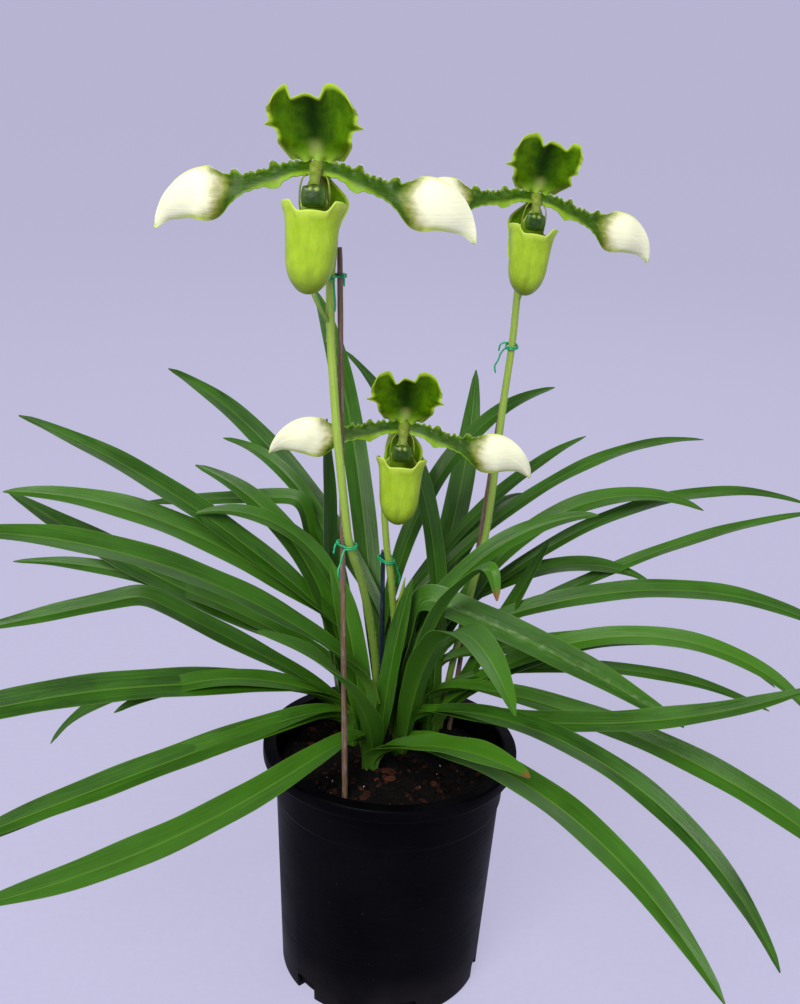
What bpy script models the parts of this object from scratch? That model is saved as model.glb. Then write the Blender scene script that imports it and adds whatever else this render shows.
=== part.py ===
"""Potted slipper orchid: a clump of strap leaves and three green and white blooms in a nursery pot.

Metres, +Z up. The origin is the centre of the pot's bottom, -Y is the side that the blooms face.
Sizes below are millimetres and are turned to metres where a mesh is made.
"""
import math
import random
from collections import namedtuple

import bmesh
import bpy
import numpy as np
from mathutils import Matrix, Vector

MM = 0.001
GAP = 0.3                      # air between neighbouring pieces
SHARP_ANGLE = 40.0             # degrees, edges sharper than this stay sharp

# Pot: a standard 13 cm nursery pot
POT_SIDES = 32
POT_HEIGHT = 130.5
LIP_RADIUS = 65.0
LIP_INNER_RADIUS = 58.0
LIP_DEPTH = 7.0
WALL_TOP_RADIUS = 59.8
BASE_RADIUS = 52.8
WALL = 1.6
POT_ROUND = 1.2                # bevel of its edges
FLOOR = 2.4
BAND_DEPTH = 27.0              # upper band, one millimetre proud of the wall below it
BAND_STEP = 0.9
NOTCH_WIDTH = 13.0
NOTCH_HEIGHT = 10.0
NOTCH_CORNER = 2.5
NOTCH_COUNT = 6
NOTCH_FIRST = 15.0             # degrees from the front, towards +X

# Potting mix
SOIL = 117.5                   # height of its surface
SOIL_BUMP = 1.3
MIX_SIDES = 24
CHIP_COUNT = 16
CHIP_SIZES = (3.2, 6.5)        # bark chips that stand out of its surface
CHIP_SEED = 5
CHIP_TILT = 0.35
HOLE_DEPTH = 12.0
HOLE_GAP = 0.6
BEND_HEIGHT = 2.0              # stems leave their holes upright up to here

# Stakes: foot and top centres, radius
STAKES = {
    "stake_1": ((-21.0, -33.5), (-32.0, -31.0, 383.0), 1.4),
    "stake_2": ((32.0, 36.5), (52.0, 60.6, 335.0), 1.4),
    "stake_3": ((-5.0, 24.0), (-8.5, 23.0, 226.0), 1.3),
}

# Leaves. Every leaf starts nearly upright on its shoot and relaxes to its own rise
UPRIGHT = 78.0                 # degrees, slope where the leaf leaves the shoot
RELAX = 0.06                   # share of its length over which it relaxes
DROOP_POWER = 1.6
KINK_SPREAD = 0.012
KINK_MARGIN = 0.03
LEAF_STATIONS = (0.0, 0.08, 0.22, 0.38, 0.56, 0.75, 0.9, 1.0)
MIDRIB_THICKNESS = 1.0
MARGIN_THICKNESS = 0.65
ROOT_FOLD = 52.0               # degrees, each half of the blade is raised this much at the root
BLADE_FOLD = 15.0
FOLD_RELAX = 0.12              # share of the length over which the fold opens
ROOT_WIDTH = 0.5               # of the full width
TIP_WIDTH = 0.14
WIDEST_FROM = 0.42             # the blade keeps its full width between these shares
WIDEST_TO = 0.6
SHOOT_RADIUS = 6.0
SHOOT_TIP_RADIUS = 3.2
ROOT_SINK = 5.0
ROOT_PULL = 0.5                # towards the shoot's axis
TURN_TO_LIGHT = 32.0           # degrees that a sideways blade turns its face towards -Y
TURN_SHARE = 0.3               # share of the length over which it turns

Leaf = namedtuple(
    "Leaf",
    "heading length rise droop width lift dx dy sweep kink kink_at",
    defaults=(0, 0, 0, 0.6),
)

# heading is 0 towards +X and 90 towards +Y, and sweep turns it along the leaf; rise is the slope
# that the leaf relaxes to and droop its fall by the tip, in degrees; width is the blade's widest,
# lift the root's height above the mix, and dx and dy its place from the shoot's centre; a kink
# folds the blade down by that angle at the share kink_at of its length
SHOOTS = {
    "growth_front": ((-9, -4), [
        Leaf(50, 95, 85, 18, 10, 7, 3, -2),
        Leaf(150, 100, 85, 21, 14, 9, -5, 2),
        Leaf(205, 230, 41, 36, 17, 41, -2, -1),
        Leaf(269, 150, 58, 29, 15, 3, 1, -3, sweep=-55),
        Leaf(235, 220, -8, -14, 15.5, 12, -2, -2, sweep=-20),
        Leaf(300, 155, 33, 21, 17, 2, 0, -3, sweep=-2),
        Leaf(305, 250, 27, 62, 15, 2, 2, -3),
    ]),
    "growth_middle": ((5, 12), [
        Leaf(2, 135, 65, 62, 12.5, 50, -2, 1, sweep=1),
        Leaf(283, 220, 70, 94, 17.5, 0, 2, -3, sweep=2),
        Leaf(308, 155, 85, 59, 15, 4, 2, -2, sweep=-2, kink=101, kink_at=0.9),
        Leaf(308, 70, 17, -8, 11, 7, 0, -2),
        Leaf(322, 220, 9, -23, 12, 16, -1, -2, sweep=22),
        Leaf(319, 245, 21, 76, 12.5, 13, 2, -2, sweep=-4),
        Leaf(338, 215, 85, 17, 17.5, 15, -3, -1, sweep=4, kink=93, kink_at=0.35),
    ]),
    "growth_left": ((-20, 20), [
        Leaf(167, 175, 85, 71, 14, 5, -1, 1),
        Leaf(182, 210, 43, 23, 14, 50, -1, 1),
        Leaf(183, 140, 85, 105, 10, 40, 1, 0),
        Leaf(180, 205, 38, 42, 15.5, 50, 0, 1),
        Leaf(191, 220, 31, 0, 12.5, 13, -3, -1, sweep=-1, kink=43, kink_at=0.59),
        Leaf(206, 245, 14, 30, 17, 16, -4, -1, sweep=-3),
        Leaf(205, 135, 31, 58, 11, 15, -2, -1),
        Leaf(213, 215, -6, 4, 14, 11, -2, -2, sweep=-1),
        Leaf(217, 205, -1, 23, 12.5, 8, -2, -2, sweep=-17),
    ]),
    "growth_right": ((20, 30), [
        Leaf(1, 230, 25, 57, 12.5, 45, 3, 0),
        Leaf(6, 120, 10, 5, 10, 38, 2, 1, sweep=-1),
        Leaf(8, 125, 62, -3, 10, -1, 3, 0, sweep=2),
        Leaf(331, 265, 5, 44, 15, 18, -2, 0, sweep=5),
        Leaf(349, 235, 45, 99, 12, 6, 3, -1, sweep=-3),
        Leaf(356, 185, 15, 40, 7.5, 22, 3, 0),
        Leaf(129, 170, 85, 41, 12.5, 50, 4, 4, sweep=60),
        Leaf(354, 205, 44, 86, 9, 3, 4, -1, sweep=6),
    ]),
    "growth_back": ((-6, 38), [
        Leaf(25, 230, 45, 53, 7.5, 50, 2, 2, sweep=1),
        Leaf(37, 170, 47, 33, 8, 50, -1, 3, sweep=-4),
        Leaf(36, 185, 83, 77, 11, 44, -2, 2, sweep=-8),
        Leaf(50, 210, 53, -5, 15, 2, 4, 1, sweep=37),
        Leaf(108, 265, 68, 48, 14.5, 14, -2, 3, sweep=1),
        Leaf(135, 215, 45, 33, 13.5, 50, 1, 3, sweep=13),
    ]),
    "growth_back_left": ((-24, 41), [
        Leaf(122, 165, 74, 91, 11, 30, 0, 3, sweep=3),
        Leaf(151, 150, 85, 85, 10, 39, 0, 2, sweep=4),
        Leaf(168, 215, 79, 5, 10, 5, -3, 1, kink=85, kink_at=0.57),
        Leaf(181, 205, 23, -8, 17, 23, -3, 0, sweep=-3),
        Leaf(180, 195, 32, 37, 10.5, 20, -3, 0, sweep=1),
        Leaf(182, 170, 84, -5, 15, 2, -3, -1),
        Leaf(185, 185, 15, 73, 11, 3, -4, -2, sweep=-13),
    ]),
    "growth_back_right": ((16, 46), [
        Leaf(10, 245, 32, 27, 7.5, 21, 3, 1, sweep=2),
        Leaf(13, 245, 44, 63, 8.5, 38, 2, 1, sweep=-2),
        Leaf(11, 215, 77, 103, 12.5, 10, 1, 2, sweep=-7),
        Leaf(55, 150, 85, 98, 9, 14, 1, 2, sweep=-5),
        Leaf(9, 140, 40, 72, 11, 48, 1, 3, sweep=-2),
    ]),
}


def leaf_centre(leaf, shoot_centre):
    """Fine centre line of a leaf, with its tangent and its sideways direction."""
    s = np.linspace(0.0, 1.0, 161)
    run = s * leaf.length
    slope = (leaf.rise + (UPRIGHT - leaf.rise) * np.exp(-s / RELAX)
             - leaf.droop * s ** DROOP_POWER
             - leaf.kink / (1.0 + np.exp(-(s - leaf.kink_at) / KINK_SPREAD)))
    slope = np.radians(slope)
    heading = np.radians(leaf.heading + leaf.sweep * s)
    tangent = np.stack([np.cos(slope) * np.cos(heading),
                        np.cos(slope) * np.sin(heading),
                        np.sin(slope)], axis=1)
    step = (tangent[1:] + tangent[:-1]) * 0.5 * (run[1] - run[0])
    root = np.array([shoot_centre[0] + leaf.dx, shoot_centre[1] + leaf.dy, SOIL + leaf.lift])
    centre = np.concatenate([[root], root + np.cumsum(step, axis=0)])
    level = np.stack([np.sin(heading), -np.cos(heading), np.zeros_like(s)], axis=1)
    turn = (-np.radians(TURN_TO_LIGHT) * np.cos(heading) * np.clip(s / TURN_SHARE, 0.0, 1.0))[:, None]
    side = level * np.cos(turn) + np.cross(level, tangent) * np.sin(turn)
    return s, centre, tangent, side


def leaf_width(s):
    """Share of the full width along a strap leaf: narrow root, long parallel part, pointed tip."""
    root = ROOT_WIDTH + (1.0 - ROOT_WIDTH) * np.sin(np.clip(s / WIDEST_FROM, 0.0, 1.0) * math.pi / 2.0)
    tip = 1.0 - np.clip((s - WIDEST_TO) / (1.0 - WIDEST_TO), 0.0, 1.0) ** 2.2
    return root * (TIP_WIDTH + (1.0 - TIP_WIDTH) * tip)


def leaf_faces(leaf, shoot_centre):
    """Upper and lower rows of a keeled blade: margin, midrib, margin at each station."""
    stations = set(LEAF_STATIONS)
    if leaf.kink:
        stations |= {leaf.kink_at - KINK_MARGIN, leaf.kink_at + KINK_MARGIN}
    at = np.array(sorted(stations))
    s, centre, tangent, side = leaf_centre(leaf, shoot_centre)
    pick = np.round(at * (len(s) - 1)).astype(int)
    centre, tangent, side = centre[pick], tangent[pick], side[pick]
    # the root itself is sunk into the shoot
    centre[0] = [shoot_centre[0] + (centre[0][0] - shoot_centre[0]) * ROOT_PULL,
                 shoot_centre[1] + (centre[0][1] - shoot_centre[1]) * ROOT_PULL, centre[0][2] - ROOT_SINK]
    normal = np.cross(side, tangent)
    fold = np.radians(BLADE_FOLD + (ROOT_FOLD - BLADE_FOLD) * np.exp(-at / FOLD_RELAX))[:, None]
    half = (leaf.width * 0.5 * leaf_width(at))[:, None]
    across = side * np.cos(fold) * half
    raised = normal * np.sin(fold) * half
    drop = normal / np.cos(fold)
    upper = np.stack([centre - across + raised, centre, centre + across + raised], axis=1)
    lower = np.stack([upper[:, 0] - drop * MARGIN_THICKNESS,
                      upper[:, 1] - drop * MIDRIB_THICKNESS,
                      upper[:, 2] - drop * MARGIN_THICKNESS], axis=1)
    return upper, lower


# Scapes: points of the centre line from the foot in the mix to the ovary's end, and the radius
SCAPES = {
    1: ([(-8, 6, 106), (-8, 6, 121), (-8.5, 4.5, 160), (-12, -7, 195), (-17.5, -23, 228),
         (-23, -34.8, 250), (-26, -37, 270), (-28.6, -37.4, 290), (-31, -37, 310),
         (-34.4, -34.4, 345), (-35.4, -32.6, 371), (-34.6, -33, 385), (-35.4, -36.5, 399),
         (-38, -42, 410)], 1.9),
    2: ([(27, 38, 106), (27, 38, 121), (31, 37.5, 155), (38, 39.5, 195), (43.6, 42.5, 224), (46.2, 46, 250),
         (47.8, 49.5, 279), (49.2, 52.6, 302), (51.2, 55, 328), (51.9, 57, 347), (52.2, 56, 364),
         (52.8, 52.5, 380), (54, 48.5, 393)], 1.8),
    3: ([(6, 24, 106), (6, 24, 121), (2, 22.5, 160), (-3, 20.5, 205), (-7, 18.6, 232),
         (-9, 17.2, 255), (-8.4, 15.6, 276), (-5.6, 11.5, 291)], 1.7),
}
STEM_SIDES = 8
OVARY_SWELL = (1.0, 1.25, 1.35, 1.25, 1.1)   # of the scape's radius, from the bloom back
# Bracts: share of the length with share of the width
BRACT_SPREAD = ((0.0, 0.55), (0.35, 1.0), (0.7, 0.7), (1.0, 0.15))
BRACT_THICKNESS = 0.8
# scape, height where the bract leaves it, tip's offset from that point, width
BRACTS = (
    (1, 350.0, (-9.0, -9.0, 18.0), 5.0),
    (2, 345.0, (4.0, -2.0, 22.0), 5.0),
    (3, 186.0, (4.0, -6.0, 30.0), 7.0),
)

# Ties: stake, scape, height, side that the loose end hangs to
TIES = {
    "tie_1_upper": ("stake_1", 1, 371.0, 1.0),
    "tie_1_lower": ("stake_1", 1, 250.0, -1.0),
    "tie_2": ("stake_2", 2, 327.0, -1.0),
    "tie_3": ("stake_3", 3, 222.0, 1.0),
}
TIE_WIRE = 0.9
TIE_HEIGHT = 0.7
TIE_TAIL = 13.0
TIE_SLACK = 0.75
TIE_SIDES = 14

# Flowers: centre at the top of the shield, turn to +X, roll clockwise as seen, nod forwards, and
# the size beside the largest bloom
Flower = namedtuple("Flower", "centre turn roll nod size")
FLOWERS = {
    1: Flower((-40.7, -55.0, 409.8), 0.0, 0.0, 0.0, 1.0),
    2: Flower((54.8, 38.0, 395.8), 4.0, 6.0, 6.0, 0.92),
    3: Flower((-1.3, -3.0, 292.0), 0.0, 1.5, 4.0, 0.93),
}
PETAL_SWING = {1: (0.0, 0.0), 2: (-7.0, -2.0), 3: (-6.5, -4.0)}   # extra droop, left and right

# Everything of a flower is drawn in its own plane: x right, y up, z towards the viewer
HEART = (0.0, 6.5, 0.0)        # where sepals, petals and column meet
COLUMN_BACK = -2.6
NECK = 9.5                     # the scape comes in straight over this length
COLUMN_PATH = ((0, 6.5, COLUMN_BACK), (0, 6.5, -1.4), (0, 6.4, 0.6), (0, 5.4, 3.6), (0, 2.6, 7.0), (0, 0, 9.6))
COLUMN_RADII = (1.9, 3.1, 2.8, 2.2, 2.0, 1.9)
COLUMN_SIDES = 6
# Shield: share of its size with depth, from its back to its front
SHIELD_ROWS = ((0.7, 9.0), (1.0, 9.8), (1.0, 10.6), (0.72, 11.6))
SHIELD_HALF = (5.0, 4.2)
SHIELD_CENTRE = -3.4
SHIELD_TILT = 0.12
SHIELD_SIDES = 12
SEPAL_THICKNESS = 0.8
PETAL_THICKNESS = 0.8
# Petal centre line and half widths, from the heart to the tip
PETAL_LINE = ((3.6, 6.6, 0.5), (9, 5.6, 2.5), (17, 2.8, 4), (25, 0.2, 5), (33, -2.4, 6), (40, -5.2, 7.2),
              (48, -5.0, 7), (55.5, -8.2, 5), (61, -13.6, 2), (64.4, -19.9, -0.5))
PETAL_HALF = (2.0, 3.3, 3.3, 3.1, 4.8, 9.8, 9.7, 7.2, 3.7, 0.7)
PETAL_ROWS = 16
ARM_END = 34.0                 # x at which the arm opens to the blade
ARM_BUMPS = ((15.8, 2.6, 2.0), (30.0, 2.4, 1.8))   # x, height and spread of the upper margin's bumps
ARM_WAVE = 0.9
ARM_NOTCH = 2.0
ARM_TWIST = 0.75
ARM_RIPPLE = 1.3
SPOON = 0.11                   # hollow of the blade, of its half width
PETAL_COLUMNS = (-1.0, -0.33, 0.33, 1.0)
# Dorsal sepal: half widths at even steps from the base to the top
DORSAL_LENGTH = 27.3
DORSAL_LEAN = (6.0, 28.0)      # degrees forward at the foot, and added by the top
DORSAL_ASIDE = {1: -0.08, 2: 0.01, 3: 0.0}     # lean to the right, as a share of its height
SPUR = 3.4                     # spurs at both sides
SPUR_AT = 0.5
CROWN_FROM = 0.6               # the top edge is shaped above this share of the length
LOBE = 4.6                     # two lobes on top, and two dips that leave a peak between them
LOBE_AT = 0.66
LOBE_SPREAD = 0.26
DIP = 2.4
DIP_AT = 0.27
DIP_SPREAD = 0.12
CUP = 4.5                      # how far the margins come forward, and roll back at the foot
BASE_ROLL = 4.2
MARGIN_WAVE = 1.5
MARGIN_WAVES = 3.1             # along the length
DORSAL_BASE = (9.7, -0.5)      # y and z of its foot, just above the column
DORSAL_HALF = (8.5, 13.6, 14.4, 14.3, 15.2, 16.6, 17.3, 17.4, 16.9, 15.6)
DORSAL_ROWS = (0.0, 0.09, 0.22, 0.36, 0.46, 0.5, 0.54, 0.66, 0.8, 0.91, 1.0)
DORSAL_COLUMNS = (-1.0, -0.78, -0.55, -0.26, 0.0, 0.26, 0.55, 0.78, 1.0)
# Synsepal: centre line and half widths
SYNSEPAL_LINE = ((0, 3.4, -1.4), (0, -6, -2.5), (0, -15, -3.5), (0, -24, -4), (0, -31, -4.5), (0, -36, -5))
SYNSEPAL_HALF = (3.0, 8.5, 10.0, 9.0, 6.0, 1.5)
SYNSEPAL_ROWS = 6
SYNSEPAL_CURL = 1.6
# Pouch: depth share, half width, half depth, centre z
POUCH_TOE = -41.6
POUCH_LEAN = {1: -1.3, 2: 1.4, 3: 0.4}     # how far the toe lies to the right
RIM_SIDE = -5.0                # height of the rim at its ears
RIM_DIP = 3.6                  # how far the front of the rim lies lower
RIM_BACK = 8.5                 # how far the back rises to the column
POUCH_ROWS = ((0.0, 13.0, 9.4, 9.6), (0.1, 11.4, 8.8, 9.8), (0.25, 10.6, 8.8, 10.0), (0.45, 10.2, 8.8, 10.6),
              (0.65, 9.7, 8.6, 11.0), (0.82, 8.0, 7.2, 11.0), (0.94, 5.0, 4.6, 10.8), (0.99, 2.2, 2.1, 10.7))
POUCH_SIDES = 12
POUCH_WALL = 0.8

COLOURS = {
    "pot": ((0.012, 0.012, 0.014), 0.42),
    "mix": ((0.035, 0.022, 0.014), 0.95),
    "stake": ((0.20, 0.085, 0.045), 0.7),
    "dark stake": ((0.01, 0.03, 0.05), 0.5),
    "tie": ((0.0, 0.16, 0.07), 0.4),
    "leaf": ((0.045, 0.17, 0.018), 0.4),
    "scape": ((0.23, 0.40, 0.05), 0.5),
    "sepal": ((0.09, 0.26, 0.015), 0.45),
    "petal": ((0.55, 0.66, 0.30), 0.45),
    "pouch": ((0.36, 0.52, 0.05), 0.35),
    "column": ((0.14, 0.32, 0.03), 0.3),
}


def clear_scene():
    for thing in list(bpy.data.objects):
        bpy.data.objects.remove(thing, do_unlink=True)


def material(name):
    found = bpy.data.materials.get(name)
    if found:
        return found
    colour, roughness = COLOURS[name]
    made = bpy.data.materials.new(name)
    made.use_nodes = True
    shader = made.node_tree.nodes["Principled BSDF"]
    shader.inputs["Base Color"].default_value = (*colour, 1.0)
    shader.inputs["Roughness"].default_value = roughness
    shader.inputs["Metallic"].default_value = 0.0
    return made


def add_object(name, points, faces, colour):
    """Closed mesh from points in millimetres, with its faces turned outwards."""
    mesh = bpy.data.meshes.new(name)
    mesh.from_pydata([tuple(p) for p in np.asarray(points, dtype=float) * MM], [], faces)
    work = bmesh.new()
    work.from_mesh(mesh)
    bmesh.ops.recalc_face_normals(work, faces=work.faces)
    work.to_mesh(mesh)
    work.free()
    mesh.materials.append(material(colour))
    mesh.shade_smooth()
    mesh.set_sharp_from_angle(angle=math.radians(SHARP_ANGLE))
    made = bpy.data.objects.new(name, mesh)
    bpy.context.scene.collection.objects.link(made)
    return made


def blade(upper, lower):
    """Points and triangles of a thin closed blade, split alike on both faces."""
    rows, columns, _ = upper.shape
    below = rows * columns
    points = np.concatenate([upper.reshape(-1, 3), lower.reshape(-1, 3)])
    faces = []
    for i in range(rows - 1):
        for j in range(columns - 1):
            a, b = i * columns + j, i * columns + j + 1
            d, c = a + columns, b + columns
            faces += [(a, b, c), (a, c, d)]
            faces += [(c + below, b + below, a + below), (d + below, c + below, a + below)]
    rim = ([j for j in range(columns)] + [i * columns + columns - 1 for i in range(1, rows)]
           + [(rows - 1) * columns + j for j in range(columns - 2, -1, -1)]
           + [i * columns for i in range(rows - 2, 0, -1)])
    for a, b in zip(rim, rim[1:] + rim[:1]):
        faces += [(b, a, a + below), (b, a + below, b + below)]
    return points, faces


def loft(rings):
    """Points and faces of a closed body through rings of equal count; its ends are flat caps."""
    count, sides = len(rings), len(rings[0])
    points = np.concatenate(rings)
    faces = []
    for i in range(count - 1):
        for j in range(sides):
            a, b = i * sides + j, i * sides + (j + 1) % sides
            faces += [(a, b, b + sides), (a, b + sides, a + sides)]
    faces.append(tuple(range(sides - 1, -1, -1)))
    faces.append(tuple(range((count - 1) * sides, count * sides)))
    return points, faces


def turned(profile, sides):
    """Rings about the Z axis through (radius, height) pairs."""
    angle = np.arange(sides) * 2.0 * math.pi / sides
    return [np.stack([r * np.cos(angle), r * np.sin(angle), np.full(sides, float(z))], axis=1)
            for r, z in profile]


def tube_rings(path, radii, sides):
    """Rings across a path that never runs along X."""
    path = np.asarray(path, dtype=float)
    tangent = np.gradient(path, axis=0)
    tangent /= np.linalg.norm(tangent, axis=1)[:, None]
    first = np.array([1.0, 0.0, 0.0]) - tangent * tangent[:, :1]
    first /= np.linalg.norm(first, axis=1)[:, None]
    second = np.cross(tangent, first)
    angle = np.arange(sides) * 2.0 * math.pi / sides
    return [path[i] + radii[i] * (np.cos(angle)[:, None] * first[i] + np.sin(angle)[:, None] * second[i])
            for i in range(len(path))]


def smooth(points, at):
    """Catmull-Rom curve through even knots, read at shares 0..1."""
    knots = np.asarray(points, dtype=float)
    knots = knots.reshape(len(knots), -1)
    padded = np.concatenate([[2 * knots[0] - knots[1]], knots, [2 * knots[-1] - knots[-2]]])
    place = np.clip(np.asarray(at, dtype=float), 0.0, 1.0) * (len(knots) - 1)
    index = np.minimum(place.astype(int), len(knots) - 2)
    t = (place - index)[:, None]
    p0, p1, p2, p3 = (padded[index + k] for k in range(4))
    return 0.5 * (2 * p1 + (p2 - p0) * t + (2 * p0 - 5 * p1 + 4 * p2 - p3) * t ** 2
                  + (3 * p1 - p0 - 3 * p2 + p3) * t ** 3)


def keep_largest(mesh):
    """Drop every island of faces but the largest: sealed hollows and loose scraps."""
    work = bmesh.new()
    work.from_mesh(mesh)
    left = set(work.faces)
    islands = []
    while left:
        front = [left.pop()]
        island = set(front)
        while front:
            touching = {near for edge in front.pop().edges for near in edge.link_faces} & left
            left -= touching
            island |= touching
            front += touching
        islands.append(island)
    largest = max(islands, key=len)
    bmesh.ops.delete(work, geom=[face for face in work.faces if face not in largest], context="FACES")
    work.to_mesh(mesh)
    work.free()


def combine(target, pieces, operation):
    """Apply one Boolean of all pieces to the target, then remove the pieces."""
    group = bpy.data.collections.new(target.name + "_pieces")
    bpy.context.scene.collection.children.link(group)
    for piece in pieces:
        bpy.context.scene.collection.objects.unlink(piece)
        group.objects.link(piece)
        piece.hide_render = True
        piece.display_type = "WIRE"
    cut = target.modifiers.new(operation.lower(), "BOOLEAN")
    cut.operation = operation
    cut.operand_type = "COLLECTION"
    cut.collection = group
    cut.solver = "EXACT"
    bpy.context.view_layer.update()
    seen = target.evaluated_get(bpy.context.evaluated_depsgraph_get())
    result = bpy.data.meshes.new_from_object(seen)
    target.modifiers.clear()
    keep_largest(result)
    target.data = result
    for piece in pieces:
        bpy.data.objects.remove(piece, do_unlink=True)
    bpy.data.collections.remove(group)
    return target


def wall_radius(height):
    """Outer radius of the pot's wall, before the band."""
    return BASE_RADIUS + (WALL_TOP_RADIUS - BASE_RADIUS) * height / (POT_HEIGHT - LIP_DEPTH)


def build_pot():
    band = POT_HEIGHT - BAND_DEPTH
    under_lip = POT_HEIGHT - LIP_DEPTH
    profile = [
        (BASE_RADIUS - POT_ROUND, 0.0), (BASE_RADIUS, POT_ROUND),
        (wall_radius(band) - BAND_STEP, band), (wall_radius(band), band + BAND_STEP),
        (WALL_TOP_RADIUS, under_lip), (LIP_RADIUS - POT_ROUND, under_lip), (LIP_RADIUS, under_lip + POT_ROUND),
        (LIP_RADIUS, POT_HEIGHT - POT_ROUND), (LIP_RADIUS - POT_ROUND, POT_HEIGHT),
        (LIP_INNER_RADIUS + POT_ROUND, POT_HEIGHT), (LIP_INNER_RADIUS, POT_HEIGHT - POT_ROUND),
        (WALL_TOP_RADIUS - WALL, under_lip - 2.0 * WALL),
        (wall_radius(band) - BAND_STEP - WALL, band - BAND_STEP), (BASE_RADIUS - WALL, FLOOR),
    ]
    pot = add_object("pot", *loft(turned(profile, POT_SIDES)), "pot")
    cutters = []
    for k in range(NOTCH_COUNT):
        angle = math.radians(NOTCH_FIRST - 90.0 + k * 360.0 / NOTCH_COUNT)
        out = np.array([math.cos(angle), math.sin(angle), 0.0])
        along = np.array([-math.sin(angle), math.cos(angle), 0.0])
        half, top, corner = NOTCH_WIDTH / 2.0, NOTCH_HEIGHT, NOTCH_CORNER
        shape = [(-half, -1), (half, -1), (half, top - corner), (half - corner, top),
                 (corner - half, top), (-half, top - corner)]
        rings = [np.array([out * r + along * u + np.array([0.0, 0.0, v]) for u, v in shape])
                 for r in (BASE_RADIUS - 4.0 * WALL, BASE_RADIUS + 2.0 * WALL)]
        cutters.append(add_object(f"notch_{k}", *loft(rings), "pot"))
    combine(pot, cutters, "DIFFERENCE")


def stem_feet():
    """Centre and radius of everything that stands in the mix."""
    feet = [(centre, SHOOT_RADIUS) for centre, _ in SHOOTS.values()]
    feet += [(path[0][:2], radius) for path, radius in SCAPES.values()]
    feet += [(foot, radius) for foot, _, radius in STAKES.values()]
    return feet


def build_mix():
    draw = random.Random(CHIP_SEED)
    inner = wall_radius(SOIL) - WALL - 3.0 * GAP
    bottom = BASE_RADIUS - WALL - 3.0 * GAP
    band = POT_HEIGHT - BAND_DEPTH
    rings = turned([(bottom, FLOOR + GAP), (wall_radius(band) - BAND_STEP - WALL - 3.0 * GAP, band - BAND_STEP),
                    (inner, SOIL - 2.0)], MIX_SIDES)
    for share in (0.97, 0.68, 0.36):
        ring = turned([(inner * share, SOIL)], MIX_SIDES)[0]
        x, y = ring[:, 0], ring[:, 1]
        ring[:, 2] += SOIL_BUMP * (np.sin(x * 0.31 + 1.0) * np.cos(y * 0.27) - 0.6)
        rings.append(ring)
    mix = add_object("potting_mix", *loft(rings), "mix")
    chips = []
    while len(chips) < CHIP_COUNT:
        angle, reach = draw.uniform(0.0, 2.0 * math.pi), inner * math.sqrt(draw.uniform(0.02, 0.8))
        x, y = reach * math.cos(angle), reach * math.sin(angle)
        size = draw.uniform(*CHIP_SIZES)
        if any(math.hypot(x - c[0], y - c[1]) < r + size * 0.8 for c, r in stem_feet()):
            continue
        spin = (Matrix.Rotation(draw.uniform(0.0, 2.0 * math.pi), 3, "Z")
                @ Matrix.Rotation(draw.uniform(-CHIP_TILT, CHIP_TILT), 3, "X"))
        half = np.array([size * 0.5, size * draw.uniform(0.3, 0.45), size * 0.3])
        corners = [(-1, -1), (1, -1), (1, 1), (-1, 1)]
        box = [np.array([spin @ Vector((half[0] * u * k, half[1] * v * k, half[2] * w)) for u, v in corners])
               + np.array([x, y, SOIL - SOIL_BUMP * 0.5]) for w, k in ((-1, 1.0), (1, 0.75))]
        chips.append(add_object(f"chip_{len(chips)}", *loft(box), "mix"))
    combine(mix, chips, "UNION")
    holes = []
    for (x, y), radius in stem_feet():
        rings = [ring + np.array([x, y, 0.0])
                 for ring in turned([(radius + HOLE_GAP, SOIL - HOLE_DEPTH),
                                     (radius + HOLE_GAP, SOIL + HOLE_DEPTH)], STEM_SIDES)]
        holes.append(add_object(f"hole_{len(holes)}", *loft(rings), "mix"))
    combine(mix, holes, "DIFFERENCE")


def build_growth(name, centre, leaves):
    """A shoot with its fan of leaves rooted in it, one piece."""
    foot = SOIL - HOLE_DEPTH + GAP
    top = SOIL + max(leaf.lift for leaf in leaves) + SHOOT_TIP_RADIUS
    profile = [(SHOOT_RADIUS, foot), (SHOOT_RADIUS, SOIL + BEND_HEIGHT),
               (SHOOT_RADIUS * 0.7, (SOIL + top) / 2.0), (SHOOT_TIP_RADIUS, top)]
    rings = [ring + np.array([centre[0], centre[1], 0.0]) for ring in turned(profile, STEM_SIDES)]
    shoot = add_object(name, *loft(rings), "leaf")
    blades = [add_object(f"{name}_leaf_{k}", *blade(*leaf_faces(leaf, centre)), "leaf")
              for k, leaf in enumerate(leaves)]
    combine(shoot, blades, "UNION")


def stake_bend(foot):
    """Point just above the mix up to which a stake is upright."""
    return np.array([foot[0], foot[1], SOIL + BEND_HEIGHT])


def build_stake(name, foot, top, radius):
    bottom = np.array([foot[0], foot[1], SOIL - HOLE_DEPTH + GAP])
    path = [bottom, stake_bend(foot), np.array(top)]
    colour = "dark stake" if name == "stake_3" else "stake"
    add_object(name, *loft(tube_rings(path, [radius, radius, radius * 0.85], STEM_SIDES)), colour)


def scape_curve(number):
    """Points of a scape's centre line, from its foot to the back of its flower."""
    flower = FLOWERS[number]
    neck = place(flower, [(HEART[0], HEART[1], -NECK), (HEART[0], HEART[1], COLUMN_BACK - 2.0 * GAP)])
    points = SCAPES[number][0] + [tuple(p) for p in neck]
    return smooth(points, np.linspace(0.0, 1.0, len(points) + 4))


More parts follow.
